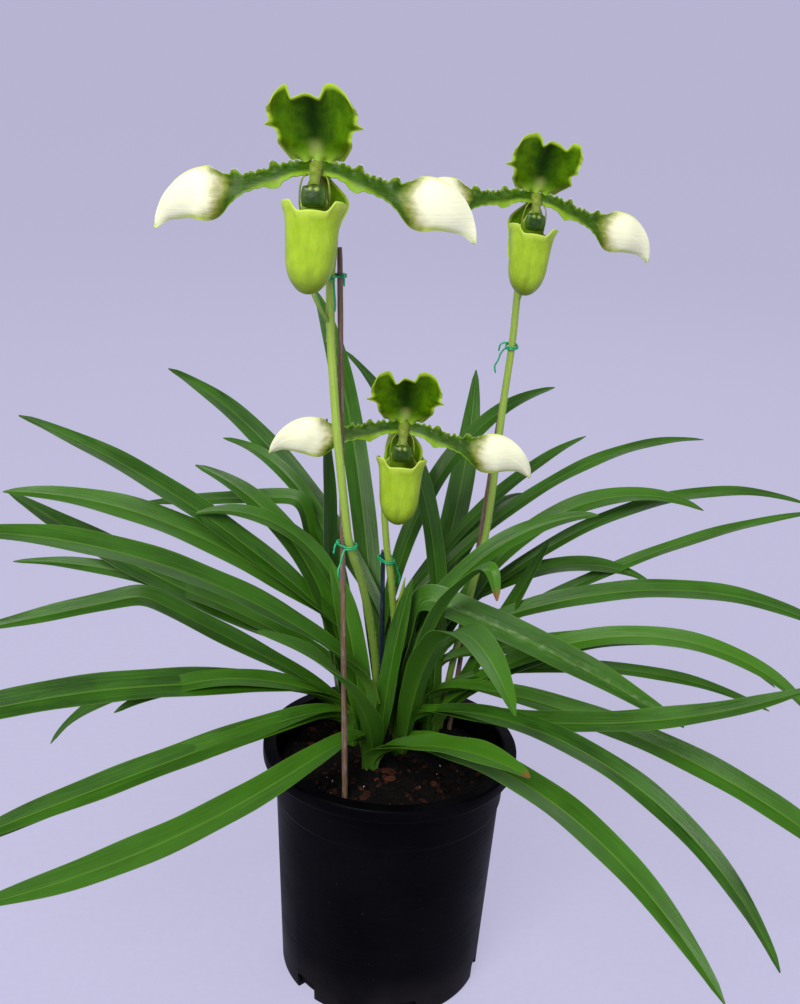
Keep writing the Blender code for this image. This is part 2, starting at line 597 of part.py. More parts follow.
def build_scape(number):
    _, radius = SCAPES[number]
    line = scape_curve(number)
    count = len(line)
    radii = [radius] * count
    for back, swell in enumerate(OVARY_SWELL, start=1):
        radii[count - back] = radius * swell
    scape = add_object(f"scape_{number}", *loft(tube_rings(line, radii, STEM_SIDES)), "scape")
    bracts = []
    for owner, height, offset, width in BRACTS:
        if owner != number:
            continue
        index = int(np.argmin(np.abs(line[:, 2] - height)))
        start, tip = line[index], line[index] + np.array(offset)
        outward = np.array([offset[0], offset[1], 0.0])
        outward /= np.linalg.norm(outward)
        across = np.cross(outward, (0.0, 0.0, 1.0))
        rows = []
        for share, spread in BRACT_SPREAD:
            middle = start + (tip - start) * share + outward * radius * 0.6 * math.sin(share * math.pi)
            half = across * width * 0.5 * spread
            inward = -outward * width * 0.3 * spread
            rows.append([middle - half + inward, middle, middle + half + inward])
        upper = np.array(rows)
        skin = outward * BRACT_THICKNESS / 2.0
        bracts.append(add_object(f"bract_{number}", *blade(upper + skin, upper - skin), "scape"))
    combine(scape, bracts, "UNION")


def point_at_height(points, height):
    points = np.asarray(points, dtype=float)
    return np.array([np.interp(height, points[:, 2], points[:, k]) for k in range(2)] + [height])


def build_tie(name, stake, number, height, side):
    """A wire loop about stake and scape, with its two twisted ends as one tail."""
    foot, top, stake_radius = STAKES[stake]
    scape_line = scape_curve(number)
    lines = ((scape_line[: int(np.argmax(scape_line[:, 2])) + 1], SCAPES[number][1], 1.0),
             ([stake_bend(foot), top], stake_radius, -1.0))
    knot = point_at_height(lines[0][0], height)
    along = knot - point_at_height(lines[1][0], height)
    along /= np.linalg.norm(along)
    across = np.array([-along[1], along[0], 0.0])
    half_turn = np.linspace(-math.pi / 2.0, math.pi / 2.0, TIE_SIDES // 2)
    rings = []
    for wire, rise in ((0.0, -TIE_HEIGHT), (TIE_WIRE, -TIE_HEIGHT), (TIE_WIRE, TIE_HEIGHT), (0.0, TIE_HEIGHT)):
        ends = [point_at_height(line, height + rise)
                + way * (radius + TIE_SLACK + wire) * (np.cos(half_turn)[:, None] * along
                                                       + np.sin(half_turn)[:, None] * across)
                for line, radius, way in lines]
        rings.append(np.concatenate(ends))
    faces = [(i * TIE_SIDES + j, i * TIE_SIDES + (j + 1) % TIE_SIDES,
              ((i + 1) % 4) * TIE_SIDES + (j + 1) % TIE_SIDES, ((i + 1) % 4) * TIE_SIDES + j)
             for i in range(4) for j in range(TIE_SIDES)]
    tie = add_object(name, np.concatenate(rings), faces, "tie")
    out = across * side
    start = knot + out * (SCAPES[number][1] + TIE_SLACK + TIE_WIRE * 0.5)
    tail_path = [start, start + out * 2.4 + np.array([0.0, 0.0, -0.3 * TIE_TAIL]),
                 start + out * 4.5 + np.array([0.0, 0.0, -TIE_TAIL])]
    tail = add_object(name + "_tail", *loft(tube_rings(tail_path, [1.0, 0.8, 0.6], 5)), "tie")
    combine(tie, [tail], "UNION")


def flower_matrix(flower):
    turn = Matrix.Rotation(math.radians(flower.turn), 4, "Z")
    nod = Matrix.Rotation(math.radians(flower.nod), 4, "X")
    roll = Matrix.Rotation(math.radians(flower.roll), 4, "Y")
    # flower x to +X, flower y to +Z, flower z to -Y
    base = Matrix(((1, 0, 0, 0), (0, 0, -1, 0), (0, 1, 0, 0), (0, 0, 0, 1)))
    return turn @ nod @ roll @ base


def place(flower, points):
    """Flower coordinates to the part's millimetres."""
    matrix = np.array(flower_matrix(flower))[:3, :3] * flower.size
    flat = np.asarray(points, dtype=float).reshape(-1, 3)
    return (flat @ matrix.T + np.array(flower.centre)).reshape(np.shape(points))


def surface_normals(grid):
    rows = np.gradient(grid, axis=0)
    columns = np.gradient(grid, axis=1)
    normal = np.cross(rows, columns)
    return normal / np.linalg.norm(normal, axis=2)[:, :, None]


def add_sheet(name, flower, grid, thickness, colour):
    normal = surface_normals(grid) * thickness * 0.5
    upper, lower = place(flower, grid + normal), place(flower, grid - normal)
    add_object(name, *blade(upper, lower), colour)


def hump(value, centre, spread):
    """Smooth bump of height one."""
    return np.exp(-((value - centre) / spread) ** 2)


def petal_grid(side, droop, rows, columns):
    """Petal surface: a narrow arm with a wavy upper margin that opens to a bent spoon."""
    at = np.linspace(0.0, 1.0, rows)
    line = smooth(PETAL_LINE, at)
    half = np.maximum(smooth(PETAL_HALF, at), PETAL_HALF[-1])
    tangent = np.gradient(line, axis=0)
    across = np.stack([-tangent[:, 1], tangent[:, 0]], axis=1)
    across /= np.linalg.norm(across, axis=1)[:, None]
    u = np.asarray(columns, dtype=float)[None, :]
    x = line[:, :1]
    arm = 1.0 / (1.0 + np.exp((x - ARM_END) / 2.5))
    upper = np.clip(u, 0.0, 1.0) ** 2
    lower = np.clip(-u, 0.0, 1.0) ** 2
    margin = sum(height * hump(x, at_x, spread) for at_x, height, spread in ARM_BUMPS)
    margin = margin + ARM_WAVE * np.sin(x * 1.05) * arm
    reach = half * u + margin * upper - ARM_NOTCH * hump(x, ARM_BUMPS[0][0], 2.4) * lower
    lift = (-ARM_TWIST * arm * u * half + ARM_RIPPLE * np.sin(x * 0.9 + 1.0) * arm * upper
            - SPOON * (1.0 - arm) * (2.6 * u ** 2 - 1.0) * half)
    grid = np.stack([line[:, :1] + across[:, :1] * reach, line[:, 1:2] + across[:, 1:] * reach,
                     line[:, 2:3] + lift], axis=2)
    angle = math.radians(droop)
    dx, dy = grid[:, :, 0] - HEART[0], grid[:, :, 1] - HEART[1]
    grid[:, :, 0] = side * (dx * math.cos(angle) + dy * math.sin(angle))
    grid[:, :, 1] = HEART[1] - dx * math.sin(angle) + dy * math.cos(angle)
    return grid


def dorsal_grid(rows, columns, aside):
    """Dorsal sepal: a broad hood with rolled base margins, side spurs and two lobes on top."""
    v = np.asarray(rows, dtype=float)[:, None]
    u = np.asarray(columns, dtype=float)[None, :]
    half = smooth(DORSAL_HALF, v[:, 0]) + SPUR * hump(v, SPUR_AT, 0.03)
    fine = np.linspace(0.0, 1.0, 101)
    fine_lean = np.radians(DORSAL_LEAN[0] + DORSAL_LEAN[1] * fine)
    step = DORSAL_LENGTH / len(fine)
    height = np.interp(v, fine, np.cumsum(np.cos(fine_lean)) * step)
    forward = np.interp(v, fine, np.cumsum(np.sin(fine_lean)) * step)
    lean = np.radians(DORSAL_LEAN[0] + DORSAL_LEAN[1] * v)
    top = np.clip((v - CROWN_FROM) / (1.0 - CROWN_FROM), 0.0, 1.0) ** 1.5
    crown = LOBE * hump(np.abs(u), LOBE_AT, LOBE_SPREAD) - DIP * hump(np.abs(u), DIP_AT, DIP_SPREAD)
    cup = CUP * v * (2.0 - 1.1 * v) - BASE_ROLL * hump(v, 0.0, 0.24)
    wave = MARGIN_WAVE * u ** 4 * np.cos(2.0 * math.pi * MARGIN_WAVES * v + 0.8)
    bulge = cup * u ** 2 + wave
    x = half * u + aside * height
    y = DORSAL_BASE[0] + height + crown * top - bulge * np.sin(lean)
    z = DORSAL_BASE[1] + forward + bulge * np.cos(lean)
    return np.stack(np.broadcast_arrays(x, y, z), axis=2)


def synsepal_grid(count, columns):
    at = np.linspace(0.0, 1.0, count)
    line = smooth(SYNSEPAL_LINE, at)
    half = smooth(SYNSEPAL_HALF, at)
    u = np.asarray(columns, dtype=float)[None, :]
    x = half * u
    z = line[:, 2:3] - SYNSEPAL_CURL * u ** 2
    return np.stack(np.broadcast_arrays(x, line[:, 1:2], z), axis=2)


def pouch_rings(sides, toe_aside):
    """Outer rings from the toe to the rim, then inner rings back to the toe."""
    angle = np.arange(sides) * 2.0 * math.pi / sides
    front, back = np.clip(np.sin(angle), 0.0, 1.0), np.clip(-np.sin(angle), 0.0, 1.0)
    rim = RIM_SIDE - RIM_DIP * front ** 1.5 + RIM_BACK * back ** 3

    def ring(row, inset):
        share, half, depth, middle = row
        half, depth = half - inset, depth - inset
        toe = POUCH_TOE + inset
        return np.stack([half * np.cos(angle) + toe_aside * share, rim * (1.0 - share) + toe * share,
                         middle + depth * np.sin(angle)], axis=1)

    outer = [ring(row, 0.0) for row in reversed(POUCH_ROWS)]
    inner = [ring(row, POUCH_WALL) for row in POUCH_ROWS]
    return outer + inner


def build_flower(number, flower):
    for side, name, droop in ((-1, "left", PETAL_SWING[number][0]), (1, "right", PETAL_SWING[number][1])):
        grid = petal_grid(side, droop, PETAL_ROWS, PETAL_COLUMNS)
        add_sheet(f"petal_{name}_{number}", flower, grid, PETAL_THICKNESS, "petal")
    add_sheet(f"dorsal_sepal_{number}", flower,
              dorsal_grid(DORSAL_ROWS, DORSAL_COLUMNS, DORSAL_ASIDE[number]), SEPAL_THICKNESS, "sepal")
    add_sheet(f"synsepal_{number}", flower, synsepal_grid(SYNSEPAL_ROWS, PETAL_COLUMNS),
              SEPAL_THICKNESS, "sepal")
    rings = [place(flower, ring) for ring in pouch_rings(POUCH_SIDES, POUCH_LEAN[number])]
    add_object(f"pouch_{number}", *loft(rings), "pouch")
    build_column(number, flower)


def build_column(number, flower):
    """Column from the heart to its shield, which hangs over the pouch."""
    rings = tube_rings(COLUMN_PATH, COLUMN_RADII, COLUMN_SIDES)
    column = add_object(f"column_{number}", *loft([place(flower, ring) for ring in rings]), "column")
    angle = np.arange(SHIELD_SIDES) * 2.0 * math.pi / SHIELD_SIDES
    square = 1.0 / np.maximum(np.abs(np.cos(angle)), np.abs(np.sin(angle))) ** 0.6
    shield = []
    for scale, depth in SHIELD_ROWS:
        x = SHIELD_HALF[0] * scale * square * np.cos(angle)
        y = SHIELD_CENTRE + SHIELD_HALF[1] * scale * square * np.sin(angle)
        shield.append(place(flower, np.stack([x, y, depth - SHIELD_TILT * y], axis=1)))
    piece = add_object(f"shield_{number}", *loft(shield), "column")
    combine(column, [piece], "UNION")


def main():
    clear_scene()
    build_pot()
    build_mix()
    for name, (centre, leaves) in SHOOTS.items():
        build_growth(name, centre, leaves)
    for name, (foot, top, radius) in STAKES.items():
        build_stake(name, foot, top, radius)
    for number in SCAPES:
        build_scape(number)
    for name, tie in TIES.items():
        build_tie(name, *tie)
    for number, flower in FLOWERS.items():
        build_flower(number, flower)


main()
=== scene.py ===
# %% [markdown]
# # Potted slipper orchid: the looks
# The imported model gives a fixed frame: every stem, leaf and petal already has its place and size.
# This script lays finer surfaces over that frame, one family of pieces after the other, and gives
# each its finish. It starts by loading the frame.

# %% Load the frame
import math
from collections import namedtuple

import bpy
import numpy as np
from mathutils import Matrix


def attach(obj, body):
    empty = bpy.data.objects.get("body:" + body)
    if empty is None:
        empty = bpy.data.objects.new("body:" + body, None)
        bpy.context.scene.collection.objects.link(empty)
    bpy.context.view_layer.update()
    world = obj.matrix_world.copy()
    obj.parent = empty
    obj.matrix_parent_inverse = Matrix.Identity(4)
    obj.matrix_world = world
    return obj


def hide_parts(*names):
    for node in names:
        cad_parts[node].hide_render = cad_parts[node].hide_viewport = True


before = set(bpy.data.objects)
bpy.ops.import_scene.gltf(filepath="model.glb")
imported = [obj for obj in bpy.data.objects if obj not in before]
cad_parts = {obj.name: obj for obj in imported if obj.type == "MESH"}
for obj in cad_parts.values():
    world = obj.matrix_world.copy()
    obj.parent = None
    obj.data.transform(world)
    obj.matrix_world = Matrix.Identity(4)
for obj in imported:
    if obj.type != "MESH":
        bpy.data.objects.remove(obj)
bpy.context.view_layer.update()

MM = 0.001

# %% [markdown]
# ## From arrays to meshes
# A surface here is a grid of points worked out with numpy. Two ways to turn a grid into a solid
# cover the whole plant. A leaf or petal is a sheet: two grids a little apart, joined round the rim.
# A stem is a tube: rings along a path, closed at both ends. Blender's curves and its Solidify
# modifier could make both, with taper objects and vertex groups to vary them; here a formula for
# thickness and cross section does that in one place. Every point also carries three vectors that
# the finishes read: grain, a position in millimetres that runs with the piece, place, which says
# how far across and along it the point lies, and tint, which sets one leaf or chip apart from the
# next.

# %% Patches and the mesh that joins them
Patch = namedtuple("Patch", "points quads triangles grain place tint", defaults=((0.0, 0.0, 0.0),))


def triples(*parts):
    """Three arrays or numbers, spread over one grid, as the x, y and z of its points."""
    return np.stack(np.broadcast_arrays(*parts), axis=2)


def even(count):
    """Evenly spaced shares from 0 to 1."""
    return np.linspace(0.0, 1.0, count)


def unit(value):
    """A value held between 0 and 1."""
    return np.clip(value, 0.0, 1.0)


def normed(vectors):
    """Vectors divided by their lengths."""
    return vectors / np.linalg.norm(vectors, axis=-1, keepdims=True)


def around(sides):
    """Angles of a ring's points, in radians."""
    return np.arange(sides) * 2.0 * math.pi / sides


def run_along(path):
    """Length of a path up to each of its points."""
    return np.concatenate([[0.0], np.cumsum(np.linalg.norm(np.diff(path, axis=0), axis=1))])


def quads_of(rows, columns, wrap):
    """Corner numbers of a grid's cells, row by row; wrap closes each row into a ring."""
    row = np.arange(rows - 1)[:, None]
    column = np.arange(columns if wrap else columns - 1)[None, :]
    beside = (column + 1) % columns
    return np.stack([row * columns + column, row * columns + beside,
                     (row + 1) * columns + beside, (row + 1) * columns + column], axis=2).reshape(-1, 4)


def sheet(upper, lower, grain, place):
    """A thin closed body between an upper and a lower grid, with a strip round the rim."""
    rows, columns, _ = upper.shape
    size = rows * columns
    top = quads_of(rows, columns, False)
    ring = np.concatenate([np.arange(columns), np.arange(2, rows + 1) * columns - 1,
                           (rows - 1) * columns + np.arange(columns - 2, -1, -1),
                           np.arange(rows - 2, 0, -1) * columns])
    after = np.roll(ring, -1)
    rim = np.stack([after, ring, ring + size, after + size], axis=1)
    quads = np.concatenate([top, top[:, ::-1] + size, rim])
    points = np.concatenate([upper.reshape(-1, 3), lower.reshape(-1, 3)])
    both = [np.concatenate([v.reshape(-1, 3), v.reshape(-1, 3)]) for v in (grain, place)]
    both[1][size:, 2] = -1.0
    return Patch(points, quads, np.zeros((0, 3), int), both[0], both[1])


def tube(rings, grain, place):
    """A closed body through rings of points, with a fan of triangles over each end."""
    rows, sides, _ = rings.shape
    last = rows * sides
    side = np.arange(sides)
    beside = (side + 1) % sides
    foot = np.stack([beside, side, np.full(sides, last)], axis=1)
    top = (rows - 1) * sides
    head = np.stack([side + top, beside + top, np.full(sides, last + 1)], axis=1)
    ends = [np.stack([v[0].mean(axis=0), v[-1].mean(axis=0)]) for v in (rings, grain, place)]
    whole = [np.concatenate([v.reshape(-1, 3), e]) for v, e in zip((rings, grain, place), ends)]
    return Patch(whole[0], quads_of(rows, sides, True), np.concatenate([foot, head]), whole[1], whole[2])


def piece(name, patches, finish, node, smooth_angle=60.0):
    """One mesh object from several patches, in metres, standing for the named frame node."""
    starts = np.cumsum([0] + [len(p.points) for p in patches[:-1]])
    quads = np.concatenate([p.quads + s for p, s in zip(patches, starts)])
    triangles = np.concatenate([p.triangles + s for p, s in zip(patches, starts)])
    points = np.concatenate([p.points for p in patches]) * MM
    corners = np.concatenate([quads.ravel(), triangles.ravel()]).astype(np.int32)
    counts = np.concatenate([np.full(len(quads), 4), np.full(len(triangles), 3)]).astype(np.int32)
    mesh = bpy.data.meshes.new(name)
    mesh.vertices.add(len(points))
    mesh.vertices.foreach_set("co", points.ravel().astype(np.float32))
    mesh.loops.add(len(corners))
    mesh.loops.foreach_set("vertex_index", corners)
    mesh.polygons.add(len(counts))
    starts = np.concatenate([[0], np.cumsum(counts)[:-1]]).astype(np.int32)
    mesh.polygons.foreach_set("loop_start", starts)
    mesh.update(calc_edges=True)
    tints = [np.broadcast_to(p.tint, p.points.shape) for p in patches]
    grains, places = [p.grain for p in patches], [p.place for p in patches]
    for label, values in (("grain", grains), ("place", places), ("tint", tints)):
        held = mesh.attributes.new(label, "FLOAT_VECTOR", "POINT")
        held.data.foreach_set("vector", np.concatenate(values).ravel().astype(np.float32))
    mesh.validate()
    mesh.shade_smooth()
    mesh.set_sharp_from_angle(angle=math.radians(smooth_angle))
    mesh.materials.append(finish)
    made = bpy.data.objects.new(name, mesh)
    bpy.context.scene.collection.objects.link(made)
    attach(made, "root")
    if node:
        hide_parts(*([node] if isinstance(node, str) else node))
    print(name, len(quads) * 2 + len(triangles), "triangles")
    return made


# %% [markdown]
# ## Curves
# Stems and centre lines pass smoothly through a few given points. A Catmull-Rom curve
# goes through its points, so they can be read straight off the plant; a Bezier curve would need
# handles beside them.

# %% Smooth curves and rings round them
def smooth(points, at):
    """Catmull-Rom curve through even knots, read at shares 0 to 1: cubic between neighbours."""
    knots = np.asarray(points, dtype=float)
    knots = knots.reshape(len(knots), -1)
    padded = np.concatenate([[2 * knots[0] - knots[1]], knots, [2 * knots[-1] - knots[-2]]])
    where = unit(np.asarray(at, dtype=float)) * (len(knots) - 1)
    index = np.minimum(where.astype(int), len(knots) - 2)
    t = (where - index)[:, None]
    p0, p1, p2, p3 = (padded[index + k] for k in range(4))
    return 0.5 * (2 * p1 + (p2 - p0) * t + (2 * p0 - 5 * p1 + 4 * p2 - p3) * t ** 2
                  + (3 * p1 - p0 - 3 * p2 + p3) * t ** 3)


def frames_along(path, reference=(1.0, 0.0, 0.0)):
    """Unit tangents of a path and two directions square to them, the first nearest the reference."""
    tangent = np.gradient(path, axis=0)
    tangent = normed(tangent)
    reference = np.asarray(reference, dtype=float)
    first = reference - tangent * (tangent @ reference)[:, None]
    first = normed(first)
    return tangent, first, np.cross(tangent, first)


def ring_points(path, radii, angle, first, second):
    """Points path + r (cos a first + sin a second), for each place of a path and each angle a."""
    return path[:, None] + radii[:, :, None] * (np.cos(angle)[None, :, None] * first[:, None]
                                                + np.sin(angle)[None, :, None] * second[:, None])


def round_tube(path, radii, sides, reference=(1.0, 0.0, 0.0)):
    """Tube of round section: ring points are path + r cos(a) first + r sin(a) second."""
    path = np.asarray(path, dtype=float)
    radii = np.broadcast_to(np.asarray(radii, dtype=float).reshape(-1, 1), (len(path), sides))
    _, first, second = frames_along(path, reference)
    angle = around(sides)
    rings = ring_points(path, radii, angle, first, second)
    run = run_along(path)
    grain = triples(radii * np.cos(angle), radii * np.sin(angle), run[:, None])
    place = triples(np.cos(angle)[None, :], (run / run[-1])[:, None], 1.0)
    return tube(rings, grain, place)


def hump(value, centre, spread):
    """Smooth bump of height one: e to the power of minus the squared distance over the spread."""
    return np.exp(-((value - centre) / spread) ** 2)


# %% [markdown]
# ## A small workbench for finishes
# Each finish is a Principled shader whose colour, roughness and bump are driven by nodes. The
# class keeps the node calls short. Colours are written as screen values from 0 to 255, the way
# one reads them off a print, and turned to linear light once.

# %% Finish builder
def paint(red, green, blue):
    """Screen colour to linear light, with opaque alpha."""
    screen = np.array([red, green, blue]) / 255.0
    linear = np.where(screen <= 0.04045, screen / 12.92, ((screen + 0.055) / 1.055) ** 2.4)
    return (*(float(v) for v in linear), 1.0)


class Finish:
    """A material being put together: each method adds one node and returns its output."""

    def __init__(self, name, roughness=0.5, **constants):
        self.material = bpy.data.materials.new(name)
        self.material.use_nodes = True
        self.tree = self.material.node_tree
        self.shader = self.tree.nodes["Principled BSDF"]
        self.shader.inputs["Roughness"].default_value = roughness
        for socket, value in constants.items():
            self.shader.inputs[socket.replace("_", " ")].default_value = value

    def feed(self, socket, value):
        if isinstance(value, bpy.types.NodeSocket):
            self.tree.links.new(value, socket)
        else:
            socket.default_value = value

    def add(self, kind, inputs, output=0, **settings):
        node = self.tree.nodes.new(kind)
        for key, value in settings.items():
            setattr(node, key, value)
        for key, value in inputs.items():
            self.feed(node.inputs[key], value)
        return node.outputs[output]

    def read(self, name):
        return self.add("ShaderNodeAttribute", {}, "Vector", attribute_name=name)

    def axis(self, vector, letter):
        return self.add("ShaderNodeSeparateXYZ", {0: vector}, letter)

    def here(self):
        return self.add("ShaderNodeTexCoord", {}, "Object")

    def stretch(self, vector, scale):
        return self.add("ShaderNodeMapping", {"Vector": vector, "Scale": scale})

    def noise(self, vector, scale, detail=3.0, roughness=0.55):
        return self.add("ShaderNodeTexNoise", {"Vector": vector, "Scale": scale, "Detail": detail,
                                               "Roughness": roughness}, "Fac")

    def calc(self, operation, a, b=0.0, clamp=False):
        return self.add("ShaderNodeMath", {0: a, 1: b}, operation=operation, use_clamp=clamp)

    def times(self, a, b):
        return self.calc("MULTIPLY", a, b)

    def plus(self, a, b):
        return self.calc("ADD", a, b)

    def less(self, a, b):
        return self.calc("SUBTRACT", a, b)

    def size(self, a):
        return self.calc("ABSOLUTE", a)

    def between(self, value, low, high, to_low=0.0, to_high=1.0):
        return self.add("ShaderNodeMapRange", {"Value": value, "From Min": low, "From Max": high,
                                               "To Min": to_low, "To Max": to_high},
                        interpolation_type="SMOOTHSTEP")

    def mix(self, share, a, b, blend="MIX"):
        node = self.tree.nodes.new("ShaderNodeMix")
        node.data_type = "RGBA"
        node.blend_type = blend
        self.feed(node.inputs[0], share)
        self.feed(node.inputs[6], a)
        self.feed(node.inputs[7], b)
        return node.outputs[2]

    def coat(self, base, value, low, high, colour, share=1.0):
        """The base with a colour over it: none where value is low, the share where it is high."""
        return self.mix(self.between(value, low, high, 0.0, share), base, paint(*colour))

    def tones(self, value, low, high, first, second):
        """A blend from the first colour where value is low to the second where it is high."""
        return self.mix(self.between(value, low, high), paint(*first), paint(*second))

    def bump(self, height, distance, strength=1.0, after=None):
        inputs = {"Height": height, "Distance": distance, "Strength": strength}
        if after is not None:
            inputs["Normal"] = after
        return self.add("ShaderNodeBump", inputs)

    def done(self, colour=None, roughness=None, normal=None):
        for socket, value in (("Base Color", colour), ("Roughness", roughness), ("Normal", normal)):
            if value is not None:
                self.feed(self.shader.inputs[socket], value)
        return self.material

# %% [markdown]
# ## Leaf green
# A strap leaf of this orchid is leathery. Light slides along its parallel veins, the midrib lies in
# a paler channel, the margin catches a thin pale line and the underside is duller. One finish
# serves all leaves, and its tint vector sets each one apart: how bright it is, how dusty, and how
# far its tip has dried. A painted image could show as much, but stretched noise draws the veins
# here, because it has no seams and no pixels.

# %% Leaf finish
def leaf_finish():
    """Green by tint, darker between veins, paler at midrib, margin and root."""
    f = Finish("leaf_green", 0.38, Specular_IOR_Level=0.22)
    place, grain, tint = f.read("place"), f.read("grain"), f.read("tint")
    across = f.size(f.axis(place, "X"))
    along = f.axis(place, "Y")
    veins = f.noise(f.stretch(grain, (2.4, 0.02, 1.0)), 1.0, 3.0, 0.6)
    clouds = f.noise(f.stretch(grain, (0.12, 0.035, 1.0)), 1.0, 3.0, 0.5)
    specks = f.noise(f.stretch(grain, (0.5, 0.2, 1.0)), 1.0, 3.0, 0.6)
    green = f.tones(clouds, 0.3, 0.72, (12, 45, 4), (36, 82, 8))
    green = f.mix(f.axis(tint, "X"), green, paint(66, 120, 16))
    green = f.coat(green, veins, 0.38, 0.7, (80, 122, 30), 0.3)
    green = f.coat(green, across, 0.1, 0.0, (94, 134, 44), 0.5)
    green = f.coat(green, across, 0.93, 1.0, (104, 144, 46), 0.35)
    green = f.coat(green, along, 0.1, 0.0, (104, 138, 50), 0.4)
    green = f.coat(green, f.axis(place, "Z"), 0.2, -0.2, (62, 102, 34), 0.4)
    dust = f.times(f.between(specks, 0.45, 0.7), f.between(across, 0.55, 0.05))
    green = f.mix(f.times(dust, f.axis(tint, "Y")), green, paint(104, 132, 84))
    dry = f.times(f.between(along, 0.955, 0.99), f.axis(tint, "Z"))
    green = f.mix(dry, green, paint(120, 84, 40))
    rough = f.between(clouds, 0.2, 0.8, 0.3, 0.46)
    bump = f.bump(veins, 0.0004, 0.5)
    bump = f.bump(specks, 0.0003, 0.25, bump)
    return f.done(green, rough, bump)


leaf_green = leaf_finish()

# %% [markdown]
# ## Leaves
# Each growth is a fan of strap leaves on a short shoot. A leaf starts nearly upright, relaxes to
# its own slope, droops under its weight and sometimes folds. Its centre line is the frame's: the
# slope is a sum of those four terms, and the line is their running sum. Across it the blade is a
# shallow V with a channel on top and a keel below, which neither a plain plane nor a curve with
# bevel would give.

# %% Values of the leaves
SOIL = 117.5                   # height of the mix's surface
UPRIGHT = 78.0                 # degrees, slope where the leaf leaves the shoot
RELAX = 0.06                   # share of its length over which it relaxes
DROOP_POWER = 1.6
KINK_SPREAD = 0.012
ROOT_FOLD = 52.0
BLADE_FOLD = 15.0
FOLD_RELAX = 0.12
TAPER_FROM = 0.6               # share of the length where the blade starts to narrow
TAPER_POWER = 2.2
WIDEST_AT = 0.42               # share of the length by which it has its full width
ROUND_TIP = 0.03               # share of the length that the rounded tip takes
TWIST = 4.0                    # degrees
RIPPLE = 0.35
RIPPLE_LENGTH = 7.5
GROOVE = 0.35                  # depth of the channel over the midrib
LINE_STEPS = 641
TURN_TO_LIGHT = 32.0           # degrees that a sideways blade turns its face towards -Y
TURN_SHARE = 0.3               # share of the length over which it turns
SHOOT_RADIUS = 6.0
SHOOT_TIP_RADIUS = 3.2

Leaf = namedtuple(
    "Leaf",
    "heading length rise droop width lift dx dy sweep kink kink_at bright dust dry",
    defaults=(0, 0, 0.6, 0.25, 0, 0),
)

